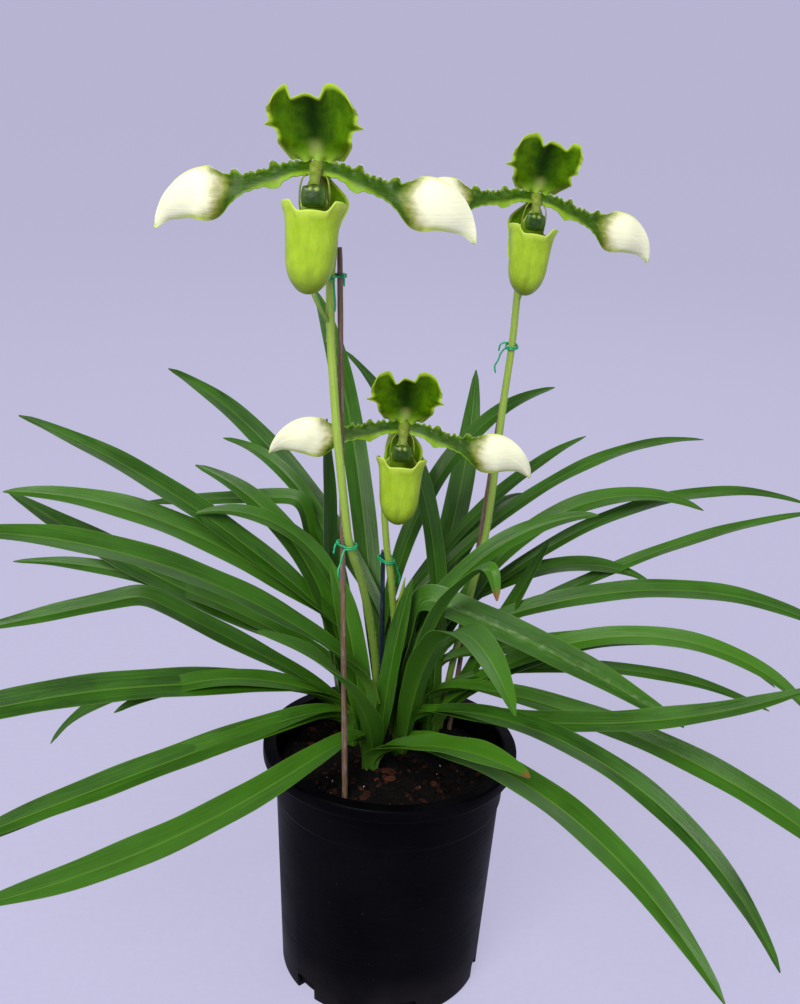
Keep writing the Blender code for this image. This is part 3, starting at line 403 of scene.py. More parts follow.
# heading 0 is towards +X and 90 towards +Y; rise and droop are slopes in degrees; lift is the
# root's height above the mix; a kink folds the blade down at the share kink_at of its length
SHOOTS = {
    "growth_front": ((-9, -4), [
        Leaf(50, 95, 85, 18, 10, 7, 3, -2),
        Leaf(150, 100, 85, 21, 14, 9, -5, 2, bright=0.5),
        Leaf(205, 230, 41, 36, 17, 41, -2, -1),
        Leaf(269, 150, 58, 29, 15, 3, 1, -3, sweep=-55, bright=0.5),
        Leaf(235, 220, -8, -14, 15.5, 12, -2, -2, sweep=-20, bright=0.45),
        Leaf(300, 155, 33, 21, 17, 2, 0, -3, sweep=-2, bright=0.7, dry=1),
        Leaf(305, 250, 27, 62, 15, 2, 2, -3, bright=0.3),
    ]),
    "growth_middle": ((5, 12), [
        Leaf(2, 135, 65, 62, 12.5, 50, -2, 1, sweep=1),
        Leaf(283, 220, 70, 94, 17.5, 0, 2, -3, sweep=2, bright=0.55),
        Leaf(308, 155, 85, 59, 15, 4, 2, -2, sweep=-2, kink=101, kink_at=0.9, bright=0.6, dry=1),
        Leaf(308, 70, 17, -8, 11, 7, 0, -2, bright=0.6),
        Leaf(322, 220, 9, -23, 12, 16, -1, -2, sweep=22),
        Leaf(319, 245, 21, 76, 12.5, 13, 2, -2, sweep=-4, bright=0.1),
        Leaf(338, 215, 85, 17, 17.5, 15, -3, -1, sweep=4, kink=93, kink_at=0.35, dust=0.6),
    ]),
    "growth_left": ((-20, 20), [
        Leaf(167, 175, 85, 71, 14, 5, -1, 1),
        Leaf(182, 210, 43, 23, 14, 50, -1, 1, bright=0.15),
        Leaf(183, 140, 85, 105, 10, 40, 1, 0),
        Leaf(180, 205, 38, 42, 15.5, 50, 0, 1, bright=0.4),
        Leaf(191, 220, 31, 0, 12.5, 13, -3, -1, sweep=-1, kink=43, kink_at=0.59),
        Leaf(206, 245, 14, 30, 17, 16, -4, -1, sweep=-3, bright=0.1),
        Leaf(205, 135, 31, 58, 11, 15, -2, -1, bright=0.35),
        Leaf(213, 215, -6, 4, 14, 11, -2, -2, sweep=-1),
        Leaf(217, 205, -1, 23, 12.5, 8, -2, -2, sweep=-17, bright=0.4),
    ]),
    "growth_right": ((20, 30), [
        Leaf(1, 230, 25, 57, 12.5, 45, 3, 0),
        Leaf(6, 120, 10, 5, 10, 38, 2, 1, sweep=-1, bright=0.6),
        Leaf(8, 125, 62, -3, 10, -1, 3, 0, sweep=2),
        Leaf(331, 265, 5, 44, 15, 18, -2, 0, sweep=5, bright=0.4),
        Leaf(349, 235, 45, 99, 12, 6, 3, -1, sweep=-3, bright=0.6),
        Leaf(356, 185, 15, 40, 7.5, 22, 3, 0),
        Leaf(129, 170, 85, 41, 12.5, 50, 4, 4, sweep=60),
        Leaf(354, 205, 44, 86, 9, 3, 4, -1, sweep=6),
    ]),
    "growth_back": ((-6, 38), [
        Leaf(25, 230, 45, 53, 7.5, 50, 2, 2, sweep=1),
        Leaf(37, 170, 47, 33, 8, 50, -1, 3, sweep=-4),
        Leaf(36, 185, 83, 77, 11, 44, -2, 2, sweep=-8),
        Leaf(50, 210, 53, -5, 15, 2, 4, 1, sweep=37),
        Leaf(108, 265, 68, 48, 14.5, 14, -2, 3, sweep=1),
        Leaf(135, 215, 45, 33, 13.5, 50, 1, 3, sweep=13, bright=0.1),
    ]),
    "growth_back_left": ((-24, 41), [
        Leaf(122, 165, 74, 91, 11, 30, 0, 3, sweep=3),
        Leaf(151, 150, 85, 85, 10, 39, 0, 2, sweep=4),
        Leaf(168, 215, 79, 5, 10, 5, -3, 1, kink=85, kink_at=0.57),
        Leaf(181, 205, 23, -8, 17, 23, -3, 0, sweep=-3, bright=0.1),
        Leaf(180, 195, 32, 37, 10.5, 20, -3, 0, sweep=1),
        Leaf(182, 170, 84, -5, 15, 2, -3, -1, bright=0.1),
        Leaf(185, 185, 15, 73, 11, 3, -4, -2, sweep=-13),
    ]),
    "growth_back_right": ((16, 46), [
        Leaf(10, 245, 32, 27, 7.5, 21, 3, 1, sweep=2, bright=0.35),
        Leaf(13, 245, 44, 63, 8.5, 38, 2, 1, sweep=-2),
        Leaf(11, 215, 77, 103, 12.5, 10, 1, 2, sweep=-7, bright=0.4),
        Leaf(55, 150, 85, 98, 9, 14, 1, 2, sweep=-5),
        Leaf(9, 140, 40, 72, 11, 48, 1, 3, sweep=-2),
    ]),
}
print(sum(len(leaves) for _, leaves in SHOOTS.values()), "leaves in", len(SHOOTS), "growths")


# %% Centre line of a leaf
def leaf_line(leaf, shoot_centre):
    """Share of the length, centre, tangent and sideways direction of a leaf, at many places.

    slope(s) = rise + (78 - rise) e^(-s / 0.06) - droop s^1.6 - kink step, heading + sweep s. The
    line is the running sum of the unit tangents, and the sideways direction turns about it.
    """
    s = even(LINE_STEPS)
    relaxing = (UPRIGHT - leaf.rise) * np.exp(-s / RELAX)
    slope = np.radians(leaf.rise + relaxing - leaf.droop * s ** DROOP_POWER
                       - leaf.kink / (1.0 + np.exp(-(s - leaf.kink_at) / KINK_SPREAD)))
    heading = np.radians(leaf.heading + leaf.sweep * s)
    tangent = np.stack([np.cos(slope) * np.cos(heading), np.cos(slope) * np.sin(heading),
                        np.sin(slope)], axis=1)
    root = np.array([shoot_centre[0] + leaf.dx, shoot_centre[1] + leaf.dy, SOIL + leaf.lift])
    step = (tangent[1:] + tangent[:-1]) * 0.5 * s[1] * leaf.length
    centre = np.concatenate([[root], root + np.cumsum(step, axis=0)])
    level = np.stack([np.sin(heading), -np.cos(heading), np.zeros_like(s)], axis=1)
    turn = (-np.radians(TURN_TO_LIGHT) * np.cos(heading) * unit(s / TURN_SHARE))[:, None]
    return s, centre, tangent, level * np.cos(turn) + np.cross(level, tangent) * np.sin(turn)


# %% One leaf
LEAF_ROWS = 58
LEAF_COLUMNS = np.array([-1.0, -0.93, -0.8, -0.6, -0.38, -0.2, -0.08, 0.0,
                         0.08, 0.2, 0.38, 0.6, 0.8, 0.93, 1.0])


def leaf_patch(leaf, shoot_centre, number):
    """Strap leaf: a V of half width w(s) along the centre line, its sides raised by the fold.

    The fold opens from 52 to 15 degrees, a groove runs over the midrib and a keel under it.
    """
    draw = np.random.default_rng(100 + number)
    fine, centre, tangent, side = leaf_line(leaf, shoot_centre)
    # rows crowd at the tip and at the fold
    density = 1.0 + 5.0 * hump(fine, leaf.kink_at, 0.03) * (leaf.kink > 0) + 3.0 * (fine > 0.97)
    share = np.cumsum(density) / np.sum(density)
    s = np.interp(np.linspace(share[0], 1.0, LEAF_ROWS), share, fine)
    centre, tangent, side = (np.stack([np.interp(s, fine, v[:, k]) for k in range(3)], axis=1)
                             for v in (centre, tangent, side))
    tangent = normed(tangent)
    centre[0] = [shoot_centre[0] + leaf.dx * 0.5, shoot_centre[1] + leaf.dy * 0.5, centre[0][2] - 5.0]
    normal = np.cross(side, tangent)
    fold = np.radians(BLADE_FOLD + (ROOT_FOLD - BLADE_FOLD) * np.exp(-s / FOLD_RELAX))[:, None]
    u = LEAF_COLUMNS[None, :]
    s, run = s[:, None], s[:, None] * leaf.length
    taper = 1.0 - unit((s - TAPER_FROM) / (1.0 - TAPER_FROM)) ** TAPER_POWER
    spread = (0.5 + 0.5 * np.sin(unit(s / WIDEST_AT) * math.pi / 2.0)) * (0.14 + 0.86 * taper)
    spread = spread * np.sqrt(unit((1.004 - s) / ROUND_TIP))
    half = leaf.width * 0.5 * spread
    phase = draw.uniform(0.0, 2.0 * math.pi, 3)
    twist = np.radians(TWIST) * np.sin(run / draw.uniform(38.0, 55.0) + phase[0]) * unit(s * 4.0)
    wave = np.sin(run / RIPPLE_LENGTH + phase[1] + np.sign(u) * phase[2])
    ripple = RIPPLE * np.abs(u) ** 3 * wave * unit(s * 5.0)
    rise = np.tan(fold) * np.abs(u) ** 1.25 * np.cos(fold)
    groove = -GROOVE * hump(u * half, 0.0, 0.6)
    up = half * (rise + np.sin(twist) * u) + (ripple + groove) * np.minimum(half / 3.0, 1.0)
    out = half * u * np.cos(fold)
    upper = centre[:, None] + side[:, None] * out[:, :, None] + normal[:, None] * up[:, :, None]
    thick = (0.3 + 0.7 * hump(u * half, 0.0, 1.1)) / np.cos(fold)
    lower = upper - normal[:, None] * (thick * np.clip(half / 1.5, 0.15, 1.0))[:, :, None]
    grain = triples(half * u, run, 40.0 * number)
    where = triples(u, s, 1.0)
    return sheet(upper, lower, grain, where)._replace(tint=(leaf.bright, leaf.dust, leaf.dry))


# %% Sheaths and shoots
def sheath_patch(leaf, shoot_centre, number):
    """Folded foot of a leaf, from the mix up to its root: a V that clasps the shoot.

    The keel goes from about 3.6 mm beside the shoot's axis to the leaf's root, and the margins
    lean back over the shoot by a fold that opens from 66 to 54 degrees.
    """
    _, line, _, _ = leaf_line(leaf, shoot_centre)
    s = even(14)[:, None]
    outward = np.array([math.cos(math.radians(leaf.heading)), math.sin(math.radians(leaf.heading)), 0.0])
    foot = np.array([*shoot_centre, SOIL - 6.0]) + outward * (3.6 + 0.9 * math.sin(number * 2.4))
    head = line[10]
    path = foot + (head - foot) * s + outward * 0.8 * np.sin(s * math.pi)
    aside = np.array([outward[1], -outward[0], 0.0])
    u = np.linspace(-1.0, 1.0, 11)[None, :]
    half = np.interp(s, [0.0, 0.5, 1.0], [5.4, 4.6, leaf.width * 0.27])
    fold = np.radians(np.interp(s, [0.0, 1.0], [66.0, 54.0]))
    out, back = half * u * np.cos(fold), half * np.abs(u) ** 1.3 * np.sin(fold)
    upper = path[:, None] + aside * out[:, :, None] - outward * back[:, :, None]
    lower = upper + outward * (0.45 + 0.5 * hump(u, 0.0, 0.25))[:, :, None]
    grain = triples(half * u, s * (leaf.lift + 6.0), 40.0 * number + 20.0)
    where = triples(u, 0.08 * s, 1.0)
    return sheet(upper, lower, grain, where)._replace(tint=(leaf.bright * 0.5, 0.0, 0.0))


def shoot_patch(centre, leaves):
    """Short round stem inside the sheaths, tapering to its last leaf."""
    top = SOIL + max(leaf.lift for leaf in leaves) + SHOOT_TIP_RADIUS
    heights = np.concatenate([np.linspace(105.8, 119.5, 4), np.linspace(119.5, top, 10)[1:]])
    radii = np.interp(heights, [105.8, 119.5, (SOIL + top) / 2.0, top - 2.0, top],
                      [SHOOT_RADIUS * 0.7, SHOOT_RADIUS * 0.6, SHOOT_RADIUS * 0.45,
                       SHOOT_TIP_RADIUS * 0.6, 0.8])
    path = np.stack([*(np.full_like(heights, v) for v in centre), heights], axis=1)
    return round_tube(path, radii, 20)._replace(tint=(0.1, 0.0, 0.0))


leaf_number = 0
for growth, (centre, leaves) in SHOOTS.items():
    patches = [shoot_patch(centre, leaves)]
    for leaf in leaves:
        leaf_number += 1
        patches.append(leaf_patch(leaf, centre, leaf_number))
        patches.append(sheath_patch(leaf, centre, leaf_number))
    piece(growth + "_leaves", patches, leaf_green, growth)

# %% [markdown]
# ## Nursery pot
# The pot is moulded polythene: a tapering wall, a band that stands a little proud under a
# rolled lip, and drain notches at the foot. Such a shape is a profile turned about its axis. The
# notches are cut by a Boolean modifier, because cutting a grid by hand would leave ragged edges.

# %% Pot finish
def pot_finish():
    """Near-black satin with faint scuffs, dried water and dust that gathers low on the wall."""
    f = Finish("black_polythene", 0.55, Specular_IOR_Level=0.025)
    here = f.here()
    height = f.axis(here, "Z")
    haze = f.noise(here, 22.0, 4.0, 0.6)
    rings = f.noise(f.stretch(here, (14.0, 14.0, 900.0)), 1.0, 2.0, 0.5)
    scuffs = f.noise(f.stretch(here, (60.0, 60.0, 700.0)), 1.0, 4.0, 0.75)
    grit = f.noise(here, 900.0, 2.0, 0.7)
    black = f.tones(haze, 0.35, 0.7, (2, 2, 4), (6, 6, 9))
    black = f.coat(black, scuffs, 0.62, 0.78, (44, 44, 54), 0.3)
    black = f.coat(black, grit, 0.7, 0.78, (84, 80, 78), 0.35)
    low = f.times(f.between(height, 0.03, 0.0), f.between(haze, 0.3, 0.7, 0.1, 0.5))
    black = f.mix(low, black, paint(48, 44, 44))
    rough = f.plus(f.between(haze, 0.3, 0.7, 0.4, 0.52), f.between(scuffs, 0.5, 0.8, 0.0, 0.2))
    bump = f.bump(rings, 0.0003, 0.4)
    bump = f.bump(grit, 0.0002, 0.2, bump)
    return f.done(black, rough, bump)


black_polythene = pot_finish()


# %% Pot shape
POT_HEIGHT = 130.5
LIP_RADIUS = 65.0
LIP_INNER_RADIUS = 58.0
LIP_DEPTH = 7.0
WALL_TOP_RADIUS = 59.8
BASE_RADIUS = 52.8
WALL = 1.6
FLOOR = 2.4
BAND_DEPTH = 27.0
BAND_STEP = 0.9
NOTCH_WIDTH = 13.0
NOTCH_HEIGHT = 10.0
NOTCH_CORNER = 2.5
NOTCH_COUNT = 6
NOTCH_FIRST = 15.0             # degrees from the front, towards +X
POT_SIDES = 160


def wall_radius(height):
    """Outer radius of the pot's tapering wall at a height."""
    return BASE_RADIUS + (WALL_TOP_RADIUS - BASE_RADIUS) * height / (POT_HEIGHT - LIP_DEPTH)


def rounded(profile, radii, steps=5):
    """Each corner of a closed profile becomes a quadratic Bezier arc of the given reach."""
    profile = np.asarray(profile, dtype=float)
    before, after = np.roll(profile, 1, axis=0) - profile, np.roll(profile, -1, axis=0) - profile
    reach = np.asarray(radii, dtype=float)[:, None]
    start = profile + before * np.minimum(reach / np.linalg.norm(before, axis=1)[:, None], 0.45)
    end = profile + after * np.minimum(reach / np.linalg.norm(after, axis=1)[:, None], 0.45)
    t = even(steps)[None, :, None]
    arcs = (1 - t) ** 2 * start[:, None] + 2 * t * (1 - t) * profile[:, None] + t ** 2 * end[:, None]
    return arcs.reshape(-1, 2)


def turned(profile, sides):
    """Rings about the Z axis through (radius, height) pairs."""
    angle = around(sides)
    radius, height = np.asarray(profile, dtype=float).T[:, :, None]
    return triples(radius * np.cos(angle), radius * np.sin(angle), height)


def turned_patch(profile, sides):
    """Closed body of a profile from axis to axis, with grain on its unrolled wall."""
    rings = turned(profile, sides)
    angle = around(sides)
    grain = triples(rings[:, :, 0] * 0.0 + angle * LIP_RADIUS, rings[:, :, 2], 0.0)
    return tube(rings, grain, np.stack([rings[:, :, 0] / LIP_RADIUS, rings[:, :, 1] / LIP_RADIUS,
                                        rings[:, :, 2] / POT_HEIGHT], axis=2))


band = POT_HEIGHT - BAND_DEPTH
under_lip = POT_HEIGHT - LIP_DEPTH
# radius, height and rounding, from the underside out, up, over the lip and down inside
corners = [
    (BASE_RADIUS, 0.0, 1.6), (wall_radius(band) - BAND_STEP, band, 0.9),
    (wall_radius(band), band + BAND_STEP, 0.8), (WALL_TOP_RADIUS, under_lip, 0.8),
    (LIP_RADIUS, under_lip, 1.4), (LIP_RADIUS, POT_HEIGHT, 1.6),
    (LIP_INNER_RADIUS, POT_HEIGHT, 1.4), (LIP_INNER_RADIUS, POT_HEIGHT - 3.0, 0.8),
    (WALL_TOP_RADIUS - WALL, under_lip - 2.0 * WALL, 0.8),
    (wall_radius(band) - BAND_STEP - WALL, band - BAND_STEP, 0.8),
    (BASE_RADIUS - WALL, FLOOR, 0.6), (2.0, FLOOR, 0.2), (2.0, 0.0, 0.2),
]
profile = rounded([c[:2] for c in corners], [c[2] for c in corners])
inside_axis = len(corners) * 5 - 10
profile = np.concatenate([[(0.5, 0.0)], profile[:inside_axis], [(0.5, FLOOR)]])
pot = piece("nursery_pot", [turned_patch(profile, POT_SIDES)], black_polythene, "pot", 35.0)


def notch_cutter(number):
    """Prism with two cut corners that passes through the wall at one notch."""
    angle = math.radians(NOTCH_FIRST - 90.0 + number * 360.0 / NOTCH_COUNT)
    out = np.array([math.cos(angle), math.sin(angle), 0.0])
    aside = np.array([-math.sin(angle), math.cos(angle), 0.0])
    half, top = NOTCH_WIDTH / 2.0, NOTCH_HEIGHT
    shape = rounded([(-half, -1), (half, -1), (half, top), (-half, top)],
                    [0.1, 0.1, NOTCH_CORNER, NOTCH_CORNER])
    reach = np.array([BASE_RADIUS - 4.0 * WALL, BASE_RADIUS + 2.0 * WALL])
    rings = (out * reach[:, None, None] + aside * shape[None, :, :1]
             + np.array([0.0, 0.0, 1.0]) * shape[None, :, 1:])
    return tube(rings, rings * 0.0, rings * 0.0)


def cut_away(body, patches):
    """Boolean difference of the body and closed patches, worked into the body's own mesh."""
    cutter = piece("cutter", patches, body.data.materials[0], None)
    modifier = body.modifiers.new("cut", "BOOLEAN")
    modifier.operation = "DIFFERENCE"
    modifier.object = cutter
    modifier.solver = "EXACT"
    bpy.context.view_layer.update()
    seen = body.evaluated_get(bpy.context.evaluated_depsgraph_get())
    result = bpy.data.meshes.new_from_object(seen)
    body.modifiers.clear()
    body.data = result
    bpy.data.objects.remove(cutter, do_unlink=True)
    result.set_sharp_from_angle(angle=math.radians(35.0))
    print(body.name, "after the cut:", len(result.polygons), "faces")


cut_away(pot, [notch_cutter(k) for k in range(NOTCH_COUNT)])

# %% [markdown]
# ## Potting mix
# The mix is fine composted bark with some larger chips and white crumbs of perlite. Its surface is
# an uneven disc; on it lie hundreds of pieces. Each chip is one small faceted template, stretched,
# turned and jittered by numbers drawn from a fixed seed, so that it costs a few dozen faces.

# %% Mix finish
def mix_finish():
    """Wet dark bark; the tint vector holds how brown a chip is and whether it is perlite."""
    f = Finish("composted_bark", 0.9, Specular_IOR_Level=0.12)
    here, tint = f.here(), f.read("tint")
    crumbs = f.noise(here, 700.0, 4.0, 0.7)
    fibre = f.noise(f.stretch(f.read("grain"), (0.6, 3.0, 1.0)), 1.0, 3.0, 0.6)
    brown = f.tones(crumbs, 0.35, 0.7, (3, 2, 2), (13, 9, 7))
    brown = f.mix(f.axis(tint, "X"), brown, paint(84, 44, 26))
    brown = f.coat(brown, fibre, 0.5, 0.75, (16, 9, 6), 0.4)
    brown = f.mix(f.axis(tint, "Y"), brown, paint(196, 190, 178))
    bump = f.bump(crumbs, 0.0015, 0.7)
    bump = f.bump(fibre, 0.0005, 0.5, bump)
    return f.done(brown, f.between(crumbs, 0.3, 0.7, 0.6, 0.95), bump)


composted_bark = mix_finish()


# %% Mix body and its chips
SOIL_BUMP = 1.3


def ground(x, y):
    """Height of the mix: a broad swell and two finer ones."""
    return (SOIL + SOIL_BUMP * (np.sin(x * 0.31 + 1.0) * np.cos(y * 0.27) - 0.6)
            + 0.5 * np.sin(x * 0.9 + y * 0.4) * np.sin(y * 1.1 - x * 0.3)
            + 0.25 * np.sin(x * 2.1) * np.cos(y * 1.9 + 0.6))


inner = wall_radius(SOIL) - WALL - 0.9
shares = np.concatenate([np.linspace(1.0, 0.06, 34), [0.03]])
surface = turned(np.stack([inner * shares, np.full_like(shares, SOIL)], axis=1), 96)
rim_drop = 1.2 * np.exp((shares[:, None] - 1.0) / 0.03)
surface[:, :, 2] = ground(surface[:, :, 0], surface[:, :, 1]) - rim_drop
skirt = turned([(0.5, FLOOR + 0.3), (BASE_RADIUS - WALL - 1.2, FLOOR + 0.3),
                (wall_radius(band) - BAND_STEP - WALL - 1.2, band - BAND_STEP), (inner, SOIL - 3.5)], 96)
rings = np.concatenate([skirt, surface])
mix_body = tube(rings, rings.copy(), rings / LIP_RADIUS)


def many(template, quads, triangles, centres, sizes, spins, tints, seed, jitter):
    """Copies of one small closed form: point = spin (template (1 + jitter) size) + centre."""
    draw = np.random.default_rng(seed)
    count, corners = len(centres), len(template)
    shaped = template[None] * (1.0 + draw.uniform(-jitter, jitter, (count, corners, 3))) * sizes[:, None]
    points = np.einsum("kij,kvj->kvi", spins, shaped) + centres[:, None]
    step = (np.arange(count) * corners)[:, None, None]
    grain = shaped + np.arange(count)[:, None, None] * 7.0
    return Patch(points.reshape(-1, 3), (quads[None] + step).reshape(-1, 4),
                 (triangles[None] + step).reshape(-1, 3), grain.reshape(-1, 3),
                 np.zeros((count * corners, 3)), np.repeat(tints, corners, axis=0))


def spin_matrices(draw, count, tilt):
    """Rotation about X by a small tilt, then about Z by any angle, for each copy."""
    a, b = draw.uniform(0.0, 2.0 * math.pi, count), draw.uniform(-tilt, tilt, count)
    ca, sa, cb, sb, zero = np.cos(a), np.sin(a), np.cos(b), np.sin(b), np.zeros(count)
    rows = [ca, -sa * cb, sa * sb, sa, ca * cb, -ca * sb, zero, sb, cb]
    return np.stack(rows, axis=1).reshape(-1, 3, 3)


def crumb_template(sides=6):
    """Faceted pebble: three rings closed by a point at each end."""
    rings = turned([(0.62, -0.75), (1.0, -0.1), (0.7, 0.8)], sides)
    form = tube(rings, rings, rings)
    return form.points * 0.5, form.quads, form.triangles


def scatter(count, seed, smallest, largest, flatness, tilt, tint_of, lift):
    """Crumbs of one kind spread evenly over the mix, with sizes drawn evenly too."""
    draw = np.random.default_rng(seed)
    angle = draw.uniform(0.0, 2.0 * math.pi, count)
    reach = (inner - 3.0) * np.sqrt(draw.uniform(0.01, 1.0, count))
    x, y = reach * np.cos(angle), reach * np.sin(angle)
    size = draw.uniform(smallest, largest, count)
    sizes = np.stack([size, size * draw.uniform(0.4, 0.75, count), size * flatness], axis=1)
    centres = np.stack([x, y, ground(x, y) + size * flatness * lift], axis=1)
    template, quads, triangles = crumb_template()
    return many(template, quads, triangles, centres, sizes, spin_matrices(draw, count, tilt),
                tint_of(draw, count), seed + 1, 0.22)


def bark_tint(draw, count):
    return np.stack([draw.uniform(0.0, 1.0, count) ** 3 * 0.8, np.zeros(count), np.zeros(count)], axis=1)


def perlite_tint(draw, count):
    return np.stack([np.zeros(count), draw.uniform(0.6, 1.0, count), np.zeros(count)], axis=1)


piece("bark_mix", [mix_body, scatter(520, 11, 1.4, 4.2, 0.4, 0.5, bark_tint, 0.15),
                   scatter(90, 21, 4.0, 8.5, 0.3, 0.35, bark_tint, 0.2),
                   scatter(46, 31, 0.6, 1.3, 0.8, 0.5, perlite_tint, 0.3)],
      composted_bark, "potting_mix", 30.0)

# %% [markdown]
# ## Where the blooms are
# Each bloom is drawn in its own plane: x right, y up, z towards the viewer, with the origin at the
# top of the shield. A turn, a roll and a nod carry that plane into the plant. All three blooms
# come from the same functions, and a few numbers apiece make them differ.

# %% Flower planes
Flower = namedtuple("Flower", "centre turn roll nod size")
FLOWERS = {
    1: Flower((-40.7, -55.0, 409.8), 0.0, 0.0, 0.0, 1.0),
    2: Flower((54.8, 38.0, 395.8), 4.0, 6.0, 6.0, 0.92),
    3: Flower((-1.3, -3.0, 292.0), 0.0, 1.5, 4.0, 0.93),
}
HEART = (0.0, 6.5, 0.0)        # where sepals, petals and column meet


def place(flower, points):
    """Flower coordinates to the plant's millimetres: size, roll Y, nod X, turn Z, then the centre."""
    turn, nod, roll = (Matrix.Rotation(math.radians(angle), 3, axis) for angle, axis in
                       ((flower.turn, "Z"), (flower.nod, "X"), (flower.roll, "Y")))
    matrix = turn @ nod @ roll @ Matrix(((1, 0, 0), (0, 0, -1), (0, 1, 0)))
    points = np.asarray(points, dtype=float)
    return points @ (np.array(matrix).T * flower.size) + np.array(flower.centre)


# %% [markdown]
# ## Hairs
# The stems, ovaries and petal margins of this orchid are downy. Particle hair would be lost in
# the export, so each hair is a slim spike of four real triangles, set on a point of the surface
# that it grows from.

# %% Hair finish and spikes
def down_finish():
    """Pale green to cream, by a fine noise."""
    f = Finish("pale_down", 0.55, Specular_IOR_Level=0.3)
    tone = f.noise(f.here(), 400.0, 2.0)
    return f.done(f.tones(tone, 0.3, 0.7, (176, 190, 132), (226, 228, 200)))


pale_down = down_finish()


def spikes(roots, directions, lengths, width):
    """A tetrahedron per hair: three corners round its root and one at root + length direction."""
    directions = normed(directions)
    helper = np.where(np.abs(directions[:, 2:]) < 0.9, [[0.0, 0.0, 1.0]], [[1.0, 0.0, 0.0]])
    first = np.cross(directions, helper)
    first = normed(first)
    second = np.cross(directions, first)
    angle = around(3)
    foot = ring_points(roots, np.array([[width]]), angle, first, second)
    tips = roots + directions * np.asarray(lengths).reshape(-1, 1)
    points = np.concatenate([foot, tips[:, None]], axis=1)
    faces = np.array([(0, 1, 3), (1, 2, 3), (2, 0, 3), (2, 1, 0)])
    step = (np.arange(len(roots)) * 4)[:, None, None]
    flat = points.reshape(-1, 3)
    triangles = (faces[None] + step).reshape(-1, 3)
    return Patch(flat, np.zeros((0, 4), int), triangles, flat.copy(), flat * 0.0)


# %% [markdown]
# ## Flower stems
# A scape is a downy green stalk that leaves the mix upright, leans where its bloom weighs it down
# and arches into a ridged, swollen ovary behind the flower. It is a tube along a smooth curve
# through the frame's points. A papery bract stands on each stem, below the ovary.

# %% Stem finish
def stem_finish():
    """Yellow-green with fine lengthwise streaks, a little browner on its downy skin."""
    f = Finish("scape_green", 0.5)
    grain, along = f.read("grain"), f.axis(f.read("place"), "Y")
    streaks = f.noise(f.stretch(grain, (1.6, 1.6, 0.05)), 1.0, 3.0, 0.6)
    mottle = f.noise(grain, 0.35, 3.0, 0.6)
    green = f.tones(along, 0.0, 0.8, (104, 142, 44), (142, 170, 56))
    green = f.coat(green, streaks, 0.4, 0.7, (96, 128, 38), 0.45)
    green = f.coat(green, mottle, 0.55, 0.75, (150, 140, 74), 0.3)
    bump = f.bump(streaks, 0.0004, 0.5)
    bump = f.bump(mottle, 0.0006, 0.3, bump)
    return f.done(green, f.between(mottle, 0.3, 0.7, 0.42, 0.6), bump)


scape_green = stem_finish()

# %% Stem curves
SCAPES = {
    1: ([(-8, 6, 106), (-8, 6, 121), (-8.5, 4.5, 160), (-12, -7, 195), (-17.5, -23, 228),
         (-23, -34.8, 250), (-26, -37, 270), (-28.6, -37.4, 290), (-31, -37, 310),
         (-34.4, -34.4, 345), (-35.4, -32.6, 371), (-34.6, -33, 385), (-35.4, -36.5, 399),
         (-38, -42, 410)], 1.9),
    2: ([(27, 38, 106), (27, 38, 121), (31, 37.5, 155), (38, 39.5, 195), (43.6, 42.5, 224),
         (46.2, 46, 250), (47.8, 49.5, 279), (49.2, 52.6, 302), (51.2, 55, 328), (51.9, 57, 347),
         (52.2, 56, 364), (52.8, 52.5, 380), (54, 48.5, 393)], 1.8),
    3: ([(6, 24, 106), (6, 24, 121), (2, 22.5, 160), (-3, 20.5, 205), (-7, 18.6, 232),
         (-9, 17.2, 255), (-8.4, 15.6, 276), (-5.6, 11.5, 291)], 1.7),
}
NECK = 9.5                     # the scape comes in straight over this length
COLUMN_BACK = -2.6
OVARY_LENGTH = 34.0
OVARY_SWELL = 0.35             # share by which the ovary is thicker than the stem
OVARY_RIDGE = 0.06             # height of its six ridges as a share of its radius
STEM_ROWS = 150
STEM_SIDES = 20
STEM_HAIRS = 2600
# scape: height where the bract leaves it, tip's offset from that point, width
BRACTS = {1: (350.0, (-9.0, -9.0, 18.0), 5.0), 2: (345.0, (4.0, -2.0, 22.0), 5.0),
          3: (186.0, (4.0, -6.0, 30.0), 7.0)}


def scape_line(number, count):
    """Centre line of a scape from the mix to the back of its flower."""
    neck = place(FLOWERS[number], [(HEART[0], HEART[1], -NECK), (HEART[0], HEART[1], COLUMN_BACK - 0.6)])
    return smooth(np.concatenate([SCAPES[number][0], neck]), even(count))


def bract_patch(line, radius, height, offset, width):
    """Small boat-shaped sheet: half width w sin(pi s)^0.6, bowed away from the stem."""
    start = line[int(np.argmin(np.abs(line[:, 2] - height)))]
    offset = np.array(offset)
    outward = np.array([offset[0], offset[1], 0.0]) / np.linalg.norm(offset[:2])
    across = np.cross(outward, (0.0, 0.0, 1.0))
    s, u = even(26)[:, None], np.linspace(-1.0, 1.0, 9)[None, :]
    half = width * 0.24 * np.interp(s, [0.0, 0.35, 0.7, 0.95, 1.0], [0.7, 1.0, 0.7, 0.16, 0.03])
    bow = radius * 0.6 * np.sin(s * math.pi) - np.abs(u) ** 1.6 * half * 0.6
    middle = start + offset * s[:, :, None]
    upper = middle + across * (half * u)[:, :, None] + outward * (bow + 0.3)[:, :, None]
    grain = triples(half * u, 0.0 * s, s * np.linalg.norm(offset))
    return sheet(upper, upper - outward * 0.55, grain, triples(u, s, 1.0))


